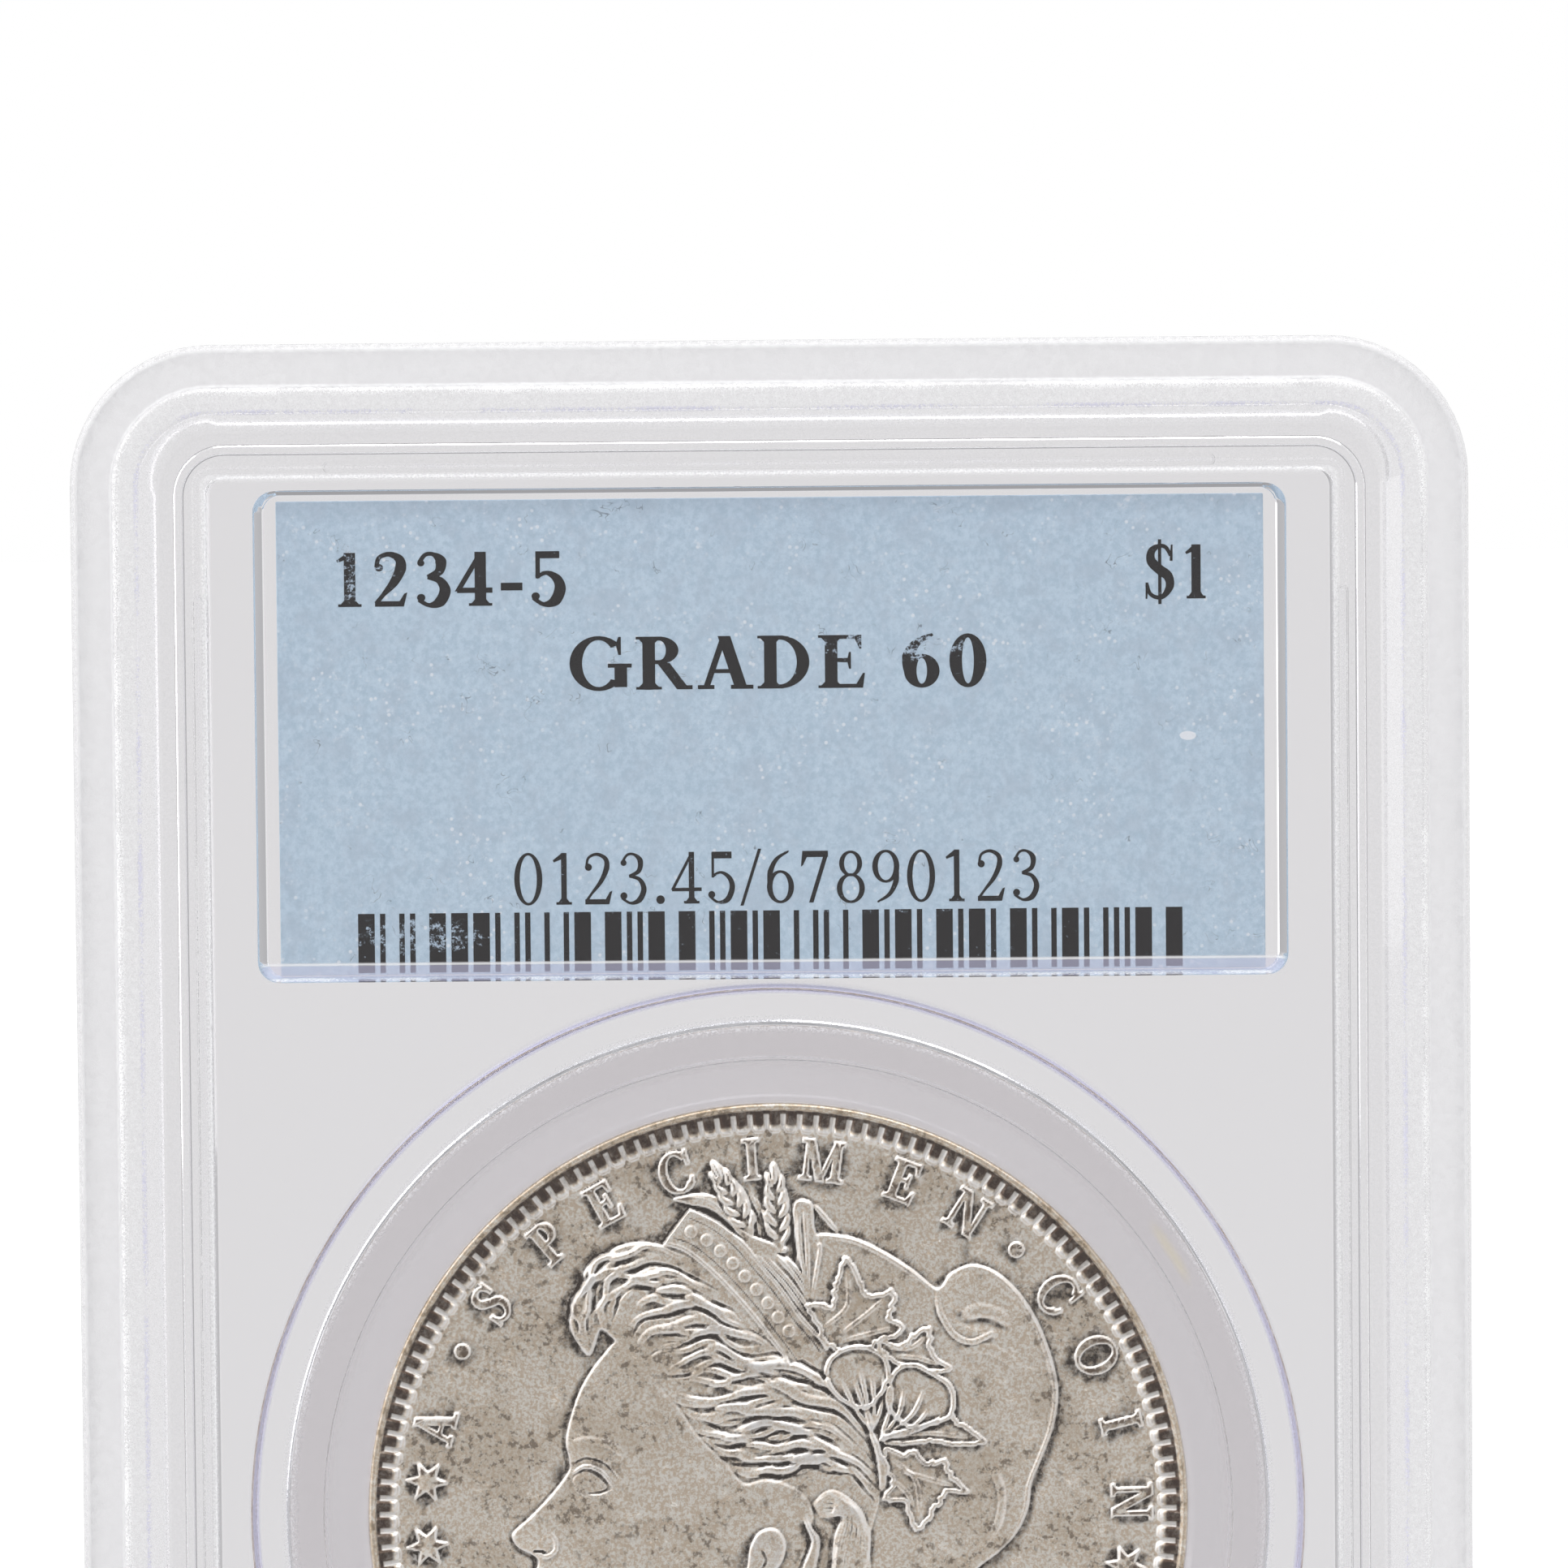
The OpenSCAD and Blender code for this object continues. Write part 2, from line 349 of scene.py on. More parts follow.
def paper_material():
    """Matt light blue label stock: fine fibre mottle, dust, a stray fibre or two and a chip."""
    g = Graph("label_paper")
    x, _, z = g.xyz()
    fibre = g.noise(3.0, 8.0, 0.8)
    mottle = g.noise(0.6, 5.0, 0.65)
    tone = g.mix(g.fade(fibre, 0.38, 0.62), (0.43, 0.56, 0.67), (0.55, 0.68, 0.785))
    tone = g.mix(g.fade(mottle, 0.45, 0.65, 0.0, 0.5), tone, (0.435, 0.53, 0.625))
    dusty = g.fade(g.noise(0.25, 3.0), 0.44, 0.6)
    specks = g.times(g.fade(g.cells(2.1), 0.24, 0.12, 0.0, 0.75), dusty)
    dust = g.times(g.fade(g.noise(2.6, 6.0, 0.8), 0.56, 0.66, 0.0, 0.6), dusty)
    chip = g.fade(g.times(blot(g, x, z, CHIP_AT, (0.55, 0.3)), fibre), 0.2, 0.26)
    tone = g.mix(g.most(specks, dust, chip), tone, (0.80, 0.84, 0.88))
    thread = g.fade(g.math("ABSOLUTE", g.minus(g.noise(0.9, 2.0, distortion=1.0), 0.5)), 0.008, 0.002)
    shifted = g.vector("ADD", g.mm, (9.0, 4.0, 2.0))
    thread = g.times(thread, g.fade(g.noise(0.7, 1.0, vector=shifted), 0.64, 0.68))
    tone = g.mix(g.times(thread, 0.6), tone, (0.10, 0.11, 0.13))
    # Painted shade: the label darkens towards its top edge.
    top = g.fade(z, LABEL_MID_Z + LABEL_H / 2 - 1.2, LABEL_MID_Z + LABEL_H / 2, 0.0, 0.22)
    tone = g.mix(top, tone, (0.25, 0.30, 0.36))
    g.surface(Base_Color=tone, Roughness=g.fade(fibre, 0.3, 0.7, 0.75, 0.9),
              Normal=g.bump(fibre, 0.2, 0.00002))
    g.bsdf.inputs["Specular IOR Level"].default_value = 0.3
    return g.material


def ink_material():
    """Warm black toner, chipped and rubbed through to the paper in a few places."""
    g = Graph("label_ink")
    x, _, z = g.xyz()
    fine = g.noise(5.0, 8.0, 0.8)
    streak = g.noise(1.0, 3.0, 0.6, vector=g.vector("MULTIPLY", g.mm, (1.2, 1.0, 4.0)))
    rubbed = 0.0
    for right, up, wide, tall, much in ((-19.3, 18.4, 2.6, 1.6, 0.13), (6.0, 15.1, 5.0, 1.1, 0.14),
                                        (-16.5, 1.8, 4.5, 1.3, 0.13), (0.0, 2.95, 21.0, 0.45, 0.07)):
        near = blot(g, x, z, (right, label_low[2] + up), (wide, tall))
        rubbed = g.most(g.times(near, much), rubbed)
    wear_and_highlight = g.plus(fine, g.times(streak, 0.3), rubbed)
    chips = g.fade(wear_and_highlight, 0.79, 0.85)
    tone = g.mix(chips, (0.012, 0.010, 0.011), (0.44, 0.55, 0.66))
    g.surface(Base_Color=tone, Roughness=g.fade(fine, 0.3, 0.7, 0.45, 0.7), Normal=g.bump(fine, 0.3, 0.00002))
    g.bsdf.inputs["Specular IOR Level"].default_value = 0.08
    return g.material


def tooth_marks(g, radius, x, z):
    """Painted light and dark of the toothed border: painted highlights on tooth ends and gaps, and teeth
    darker towards the rim, toning with painted shadow beside it.
    """
    out = g.minus(radius, FIELD_R)
    turn = g.math("ARCTAN2", g.minus(z, COIN_Z), x)
    place = g.math("FRACT", g.times(turn, DENTICLES / (2 * math.pi)))
    aside = g.math("ABSOLUTE", g.minus(place, 0.5))
    bend = g.minus(out, g.times(g.math("POWER", aside, 4.0), TOOTH_BEND))
    end = g.times(g.fade(bend, 0.04, 0.12), g.fade(bend, 0.42, 0.28))
    gap = g.times(g.fade(aside, 0.3, 0.38), g.fade(out, 0.2, 0.35), g.fade(out, 1.04, 0.94))
    dark = g.times(g.fade(bend, 0.36, 0.56), g.fade(out, 1.22, 1.12))
    return g.most(end, gap), g.times(dark, g.minus(1.0, gap))


def coin_material():
    """Old silver: satin field, brown toning in the hollows, painted highlights on steep relief edges, painted
    dark reflection on the legend's flat tops, fine contact marks.
    """
    g = Graph("coin_silver")
    hollow = g.attribute("hollow")
    edge = g.attribute("edge")
    x, _, z = g.xyz()
    radius = coin_radius(g)
    light, dark = tooth_marks(g, radius, x, z)
    grain = g.noise(6.0, 5.0, 0.78)
    patch = g.noise(0.3, 5.0, 0.6)
    mottle = g.noise(2.4, 7.0, 0.7)
    tone = g.mix(g.fade(grain, 0.44, 0.56), (0.79, 0.65, 0.49), (1.0, 0.955, 0.855))
    tone = g.mix(g.fade(patch, 0.45, 0.62, 0.0, 0.45), tone, (0.64, 0.52, 0.37))
    spots = g.times(g.fade(mottle, 0.52, 0.6), g.fade(patch, 0.48, 0.57, 0.0, 0.8))
    tone = g.mix(spots, tone, (0.22, 0.165, 0.115))
    gold = g.times(g.fade(radius, FIELD_R + 1.1, COIN_R, 0.0, 0.6), g.fade(mottle, 0.35, 0.6))
    tone = g.mix(gold, tone, (0.62, 0.47, 0.29))
    # Painted dark reflection: the flat tops of the legend's figures and stars are darkened, mottled.
    legend = g.times(g.fade(radius, 14.9, 15.3), g.fade(radius, FIELD_R, FIELD_R - 0.2))
    flat_top = g.times(g.fade(hollow, 0.3, 0.15), g.fade(edge, 0.5, 0.15))
    painted_dark_tops = g.times(legend, flat_top, g.fade(mottle, 0.4, 0.54, 0.25, 0.95))
    tone = g.mix(painted_dark_tops, tone, (0.17, 0.112, 0.07))
    # Teeth darker towards the rim: toning together with painted shadow beside the raised rim.
    tone = g.mix(g.times(dark, g.fade(mottle, 0.34, 0.56, 0.8, 1.0)), tone, (0.065, 0.036, 0.022))
    # Painted highlights: steep relief slopes and the tooth ends and gaps turn near-white.
    bright = g.times(g.most(edge, light), g.fade(mottle, 0.35, 0.65, 1.0, 0.6))
    tone = g.mix(bright, tone, (1.0, 0.985, 0.95))
    sunk = g.times(g.fade(hollow, 0.55, 0.82), g.fade(mottle, 0.36, 0.6, 0.5, 1.0))
    sunk = g.most(sunk, g.fade(hollow, 0.9, 0.98))
    tone = g.mix(sunk, tone, (0.035, 0.022, 0.014))
    flow_at = g.join(g.times(radius, 0.4), g.times(x, 4.0), g.times(z, 4.0))
    flow = g.noise(1.0, 4.0, 0.6, vector=flow_at)
    nick_at = g.noise(1.3, 2.0, 0.5, vector=g.vector("MULTIPLY", g.mm, (1.0, 1.0, 3.0)), distortion=1.5)
    nicks = g.fade(g.math("ABSOLUTE", g.minus(nick_at, 0.5)), 0.012, 0.0)
    nicks = g.times(nicks, g.fade(g.noise(0.9, 2.0), 0.58, 0.66))
    height = g.plus(g.times(grain, 0.5), g.times(flow, 0.6), g.times(nicks, -1.0))
    g.surface(Base_Color=tone, Metallic=1.0, Roughness=g.fade(g.plus(grain, sunk), 0.3, 1.3, 0.42, 0.6),
              Normal=g.bump(height, 0.5, 0.00001))
    return g.material


def foil_material():
    """Diffraction foil: fine concentric rulings that shift in tint."""
    g = Graph("seal_foil")
    x, _, z = g.xyz()
    radius = g.vector("LENGTH", g.join(x, g.minus(z, LABEL_MID_Z), 0.0))
    waves = g.math("SINE", g.times(radius, 9.0))
    tint = g.mix(g.fade(g.noise(0.6, 2.0), 0.4, 0.6), (0.70, 0.78, 0.85), (0.85, 0.76, 0.82))
    g.surface(Base_Color=g.mix(g.fade(waves, -1.0, 1.0, 0.0, 0.4), tint, (0.6, 0.8, 0.72)),
              Metallic=1.0, Roughness=g.fade(waves, -1.0, 1.0, 0.18, 0.32),
              Normal=g.bump(waves, 0.3, 0.00004))
    return g.material


# ---------------------------------------------------------------- mesh helpers


def make_object(name, bm, material, smooth_angle=math.radians(32), weighted=True):
    """A cleaned, smooth-shaded object with sharp creases kept, in the scene."""
    bmesh.ops.remove_doubles(bm, verts=bm.verts, dist=1e-8)
    bmesh.ops.recalc_face_normals(bm, faces=bm.faces)
    mesh = bpy.data.meshes.new(name)
    bm.to_mesh(mesh)
    bm.free()
    mesh.shade_smooth()
    mesh.set_sharp_from_angle(angle=smooth_angle)
    mesh.materials.append(material)
    obj = bpy.data.objects.new(name, mesh)
    bpy.context.scene.collection.objects.link(obj)
    if weighted:
        modifier = obj.modifiers.new("flat faces stay flat", "WEIGHTED_NORMAL")
        modifier.keep_sharp = True
    return obj


def rounded_loop(width, height, radius, steps=14):
    """Points round a rectangle with round corners, counter-clockwise, centred on 0, 0."""
    points = []
    for corner, (sx, sy) in enumerate(((1, 1), (-1, 1), (-1, -1), (1, -1))):
        cx = sx * (width / 2 - radius)
        cy = sy * (height / 2 - radius)
        for i in range(steps + 1):
            a = math.radians(90 * corner + 90 * i / steps)
            points.append((cx + radius * math.cos(a), cy + radius * math.sin(a)))
    return points


def loft(bm, loops, capped=True, closed=False):
    """Joins loops of (x, y, z) points in millimetres with quads, and caps both ends."""
    rings = [[bm.verts.new(Vector(p) * MM) for p in loop] for loop in loops]
    count = len(rings[0])
    pairs = list(zip(rings, rings[1:]))
    if closed:
        pairs.append((rings[-1], rings[0]))
    for a, b in pairs:
        for i in range(count):
            j = (i + 1) % count
            bm.faces.new((a[i], a[j], b[j], b[i]))
    if capped and not closed:
        bm.faces.new(rings[0][::-1])
        bm.faces.new(rings[-1])
    return rings


def arc(cx, cy, radius, start, end, steps=4):
    """Points of an arc in a section, angles in degrees."""
    return [(cx + radius * math.cos(math.radians(start + (end - start) * i / steps)),
             cy + radius * math.sin(math.radians(start + (end - start) * i / steps)))
            for i in range(steps + 1)]


def case_section(section, front):
    """Section points (inset, depth) to loops round the case."""
    sign = -1.0 if front else 1.0
    loops = []
    for inset, depth in section:
        spread = 0.5 * min(max((inset - 2.0) / 2.1, 0.0), 1.0)
        radius = max(CORNER_R - inset + spread, HOLLOW_R)
        loops.append([(x, sign * depth, z + CASE_MID_Z)
                      for x, z in rounded_loop(CASE_W - 2 * inset, CASE_H - 2 * inset, radius)])
    return loops


def front_section():
    """From the hollow's inner face, out over the joint face, round the edge and in to the panel."""
    edge = FRONT_PANEL - EDGE_R
    points = [(BORDER + 0.06, INNER), (BORDER, INNER - 0.08), (BORDER, SEAM + 0.05), (BORDER - 0.05, SEAM)]
    points += [(TRAP[1], SEAM), (TRAP[1] - 0.04, TRAP[2] - 0.05), (TRAP[1] - 0.1, TRAP[2])]
    points += [(TRAP[0] + 0.1, TRAP[2]), (TRAP[0] + 0.04, TRAP[2] - 0.05), (TRAP[0], SEAM)]
    points += [(0.06, SEAM), (0.0, SEAM + 0.06)]
    points += [(EDGE_R - x, y) for x, y in arc(0.0, edge, EDGE_R, 0, 90, 6)]
    points += [(RIM_IN - 0.14, FRONT_PANEL)]
    points += [(RIM_IN - 0.14 + 0.14 * math.sin(math.radians(a)),
                FRONT_PANEL + 0.14 - 0.14 * math.cos(math.radians(a)))
               for a in (30, 60, 85)]
    top = FRONT_TOP
    points += [(RIM_IN + 0.05 + 0.2 - x, y) for x, y in arc(0.0, top - 0.2, 0.2, 5, 90, 5)]
    points += [(CREST_END - 0.08, top), (CREST_END + 0.02, top - 0.015), (CREST_END + 0.12, top - 0.07)]
    points += [(RIM_FOOT - 0.12, FRONT_PANEL + 0.09), (RIM_FOOT, FRONT_PANEL + 0.02),
               (RIM_FOOT + 0.1, FRONT_PANEL)]
    return points


def back_section():
    """The same for the back half, whose single rim stands at the edge."""
    points = [(BORDER + 0.06, INNER), (BORDER, INNER - 0.08), (BORDER, SEAM + 0.05), (BORDER - 0.05, SEAM)]
    points += [(0.06, SEAM), (0.0, SEAM + 0.06)]
    points += [(EDGE_R - x, y) for x, y in arc(0.0, BACK_TOP - EDGE_R, EDGE_R, 0, 90, 6)]
    points += [(BACK_RIM_W - 0.2, BACK_TOP)]
    points += [(BACK_RIM_W - 0.12 + 0.12 * math.sin(math.radians(a)),
                BACK_TOP - 0.12 + 0.12 * math.cos(math.radians(a)))
               for a in (20, 50, 85)]
    points += [(BACK_RIM_W + 0.08, BACK_PANEL + 0.14), (BACK_RIM_W + 0.12, BACK_PANEL + 0.04),
               (BACK_RIM_W + 0.22, BACK_PANEL)]
    return points


def add_boss(bm, front):
    """Window boss over the label: drafted sides, small round at the tip."""
    sign = -1.0 if front else 1.0
    tip = (-LABEL_FRONT + LABEL_GAP) if front else (LABEL_BACK + 0.1)
    loops = []
    for shrink, depth in ((0.0, INNER + 0.2), (0.0, INNER), (0.06, INNER - 0.1),
                          (BOSS_DRAFT - 0.06, tip + 0.06), (BOSS_DRAFT, tip)):
        loops.append([(x, sign * depth, z + BOSS_MID_Z)
                      for x, z in rounded_loop(BOSS_W - 2 * shrink, BOSS_H - shrink, 1.0 - shrink * 0.5, 8)])
    loft(bm, loops)


def circle_loop(radius, y, count=256):
    """A loop round the coin's axis."""
    return [(radius * math.cos(2 * math.pi * i / count), y,
             COIN_Z + radius * math.sin(2 * math.pi * i / count))
            for i in range(count)]


def add_well(bm, front):
    """Round wall of the coin's well, drafted, with rounded tip."""
    sign = -1.0 if front else 1.0
    outer = WELL_R + WELL_WALL
    section = [(WELL_R - 0.05, INNER + 0.2), (WELL_R - 0.05, INNER), (WELL_R, INNER - 0.12),
               (WELL_R + 0.03, SEAM + 0.08),
               (WELL_R + 0.11, SEAM), (outer - 0.12, SEAM), (outer - 0.04, SEAM + 0.08),
               (outer, INNER - 0.12), (outer + 0.08, INNER), (outer + 0.08, INNER + 0.2)]
    loft(bm, [circle_loop(r, sign * d) for r, d in section], capped=False, closed=True)


def add_ribs(bm, grow, low, high):
    """Four weld ribs with round ends, between two signed depths."""
    for i in range(4):
        half, other = (CASE_W / 2, CASE_H / 2) if i % 2 == 0 else (CASE_H / 2, CASE_W / 2)
        reach = other - RIB_STOP
        width = RIB_W + 2 * grow
        turn = Matrix.Rotation(math.radians(90 * i), 3, "Y")
        loops = []
        for depth in (low, high):
            loop = []
            for x, z in rounded_loop(width, 2 * reach + width, width / 2 - 1e-4, 6):
                p = turn @ Vector((x + half - RIB_IN, -depth, z))
                loop.append((p.x, p.y, p.z + CASE_MID_Z))
            loops.append(loop)
        loft(bm, loops)


def tool_mesh(build, *args):
    """What a function builds, as an object for a boolean."""
    bm = bmesh.new()
    build(bm, *args)
    bmesh.ops.recalc_face_normals(bm, faces=bm.faces)
    mesh = bpy.data.meshes.new("tool")
    bm.to_mesh(mesh)
    bm.free()
    return bpy.data.objects.new("tool", mesh)


def combine(base_mesh, steps):
    """Applies exact booleans of tool objects to a mesh, and returns the result as a bmesh."""
    base = bpy.data.objects.new("base", base_mesh)
    bpy.context.scene.collection.objects.link(base)
    tools = []
    for operation, tool in steps:
        bpy.context.scene.collection.objects.link(tool)
        modifier = base.modifiers.new("cut", "BOOLEAN")
        modifier.operation = operation
        modifier.solver = "EXACT"
        modifier.object = tool
        tools.append(tool)
    bpy.context.view_layer.update()
    evaluated = base.evaluated_get(bpy.context.evaluated_depsgraph_get())
    bm = bmesh.new()
    bm.from_mesh(evaluated.to_mesh())
    for obj in tools + [base]:
        bpy.data.objects.remove(obj)
    return bm


def make_shell(name, front, material):
    """One half of the case, with its boss, its half of the well and its weld ribs or grooves."""
    bm = bmesh.new()
    loft(bm, case_section(front_section() if front else back_section(), front))
    bmesh.ops.recalc_face_normals(bm, faces=bm.faces)
    mesh = bpy.data.meshes.new(name)
    bm.to_mesh(mesh)
    bm.free()
    steps = [("UNION", tool_mesh(add_boss, front)), ("UNION", tool_mesh(add_well, front))]
    if front:
        steps.append(("UNION", tool_mesh(add_ribs, 0.0, -RIB_H, 0.2)))
    else:
        steps.append(("DIFFERENCE", tool_mesh(add_ribs, 0.08, -RIB_H - 0.08, 0.2)))
    return make_object(name, combine(mesh, steps), material)


def make_gasket(material):
    """Soft ring: gripping lip, step and outer band, all edges rounded."""
    lip = RING_HALF - 0.25
    section = [(COIN_R + 0.02, COIN_HALF - 0.16), (COIN_R + 0.06, COIN_HALF - 0.06),
               (COIN_R + 0.30, lip - 0.03), (COIN_R + 0.38, lip)]
    section += [(STEP_R - 0.1, lip), (STEP_R - 0.02, lip + 0.03)]
    section += [(STEP_R + 0.04, RING_HALF - 0.04), (STEP_R + 0.12, RING_HALF)]
    section += [(RING_R - 0.2, RING_HALF), (RING_R - 0.07, RING_HALF - 0.05), (RING_R, RING_HALF - 0.2)]
    section += [(r, -d) for r, d in reversed(section)]
    bm = bmesh.new()
    loft(bm, [circle_loop(r, -d) for r, d in section], capped=False, closed=True)
    return make_object("soft_ring", bm, material)


def make_label(material):
    """Paper label, a thin sheet with softened edges."""
    bm = bmesh.new()
    loops = []
    soft = 0.03
    middle = (LABEL_FRONT + LABEL_BACK) / 2
    half = (LABEL_BACK - LABEL_FRONT) / 2
    for shrink, y in ((soft, -half), (0.0, -half + soft), (0.0, half - soft), (soft, half)):
        loops.append([(x, middle + y, z + LABEL_MID_Z)
                      for x, z in rounded_loop(LABEL_W - 2 * shrink, LABEL_H - 2 * shrink, 0.06, 3)])
    loft(bm, loops)
    return make_object("label_paper", bm, material)


def make_seal(material):
    """Round foil seal with a scalloped edge."""
    bm = bmesh.new()
    loops = []
    for shrink, y in ((0.0, seal_low[1]), (0.0, seal_high[1] - 0.02), (0.05, seal_high[1])):
        loop = []
        for i in range(8 * SCALLOPS):
            a = 2 * math.pi * i / (8 * SCALLOPS)
            r = SEAL_R - 0.15 - shrink + 0.12 * abs(math.sin(SCALLOPS / 2 * a))
            loop.append((r * math.cos(a), y, LABEL_MID_Z + r * math.sin(a)))
        loops.append(loop)
    loft(bm, loops)
    return make_object("foil_seal", bm, material)


# ---------------------------------------------------------------- outlines and serif figures


def spline(points, closed=False, steps=5):
    """Catmull-Rom curve through the points."""
    p = np.array(points, float)
    count = len(p)
    out = []
    for i in range(count if closed else count - 1):
        near = [(i + k) % count if closed else min(max(i + k, 0), count - 1) for k in (-1, 0, 1, 2)]
        a, b, c, d = p[near]
        for t in np.arange(steps) / steps:
            out.append(b + 0.5 * t * (c - a + t * (2 * a - 5 * b + 4 * c - d + t * (3 * b - a - 3 * c + d))))
    if not closed:
        out.append(p[-1])
    return np.array(out)


def sideways(path):
    """Unit vectors across a path."""
    along = np.gradient(path, axis=0)
    side = np.stack([-along[:, 1], along[:, 0]], 1)
    return side / np.maximum(np.linalg.norm(side, axis=1), 1e-9)[:, None]


def between(a, b, t):
    """The line of points a share t of the way from one line to another."""
    return [(p[0] + (q[0] - p[0]) * t, p[1] + (q[1] - p[1]) * t) for p, q in zip(a, b)]


def bar(x0, y0, x1, y1):
    """Corners of an upright rectangle."""
    return [(x0, y0), (x1, y0), (x1, y1), (x0, y1)]


def slant(x0, y0, x1, y1, width):
    """A straight stroke with level ends."""
    half = width / 2
    return [(x0 - half, y0), (x0 + half, y0), (x1 + half, y1), (x1 - half, y1)]


def disc(cx, cy, r, steps=16):
    """Points round a circle."""
    turns = [2 * math.pi * i / steps for i in range(steps)]
    return [(cx + r * math.cos(a), cy + r * math.sin(a)) for a in turns]


def strip(left, right):
    """Convex pieces that fill the space between two lines of points."""
    return [[tuple(left[i]), tuple(left[i + 1]), tuple(right[i + 1]), tuple(right[i])]
            for i in range(len(left) - 1)]


def bowl(cx, cy, rx, ry, start, end, thick, thin, steps=24):
    """Part of a ring between two ellipses, thick at its sides and thin at top and bottom."""
    turns = np.radians(np.linspace(start, end, steps + 1))
    outer = np.stack([cx + rx * np.cos(turns), cy + ry * np.sin(turns)], 1)
    inner = np.stack([cx + (rx - thick) * np.cos(turns), cy + (ry - thin) * np.sin(turns)], 1)
    return strip(outer, inner)


def pen(points, widths):
    """A stroke of changing width along a smooth path."""
    path = spline(points, steps=6)
    wide = np.interp(np.linspace(0, 1, len(path)), np.linspace(0, 1, len(widths)), widths)
    half = sideways(path) * wide[:, None] / 2
    return strip(path + half, path - half)


def stem(x, width, foot=True, head=True, out=0.1, slab=0.05):
    """An upright with bracketed serifs."""
    half = width / 2
    parts = [bar(x - half, 0, x + half, 1)]
    for wanted, y, way in ((foot, 0, 1), (head, 1, -1)):
        if wanted:
            parts.append(bar(x - half - out, y, x + half + out, y + way * slab))
            parts.append([(x - half - out * 0.55, y + way * slab), (x + half + out * 0.55, y + way * slab),
                          (x + half, y + way * (slab + 0.07)), (x - half, y + way * (slab + 0.07))])
    return parts


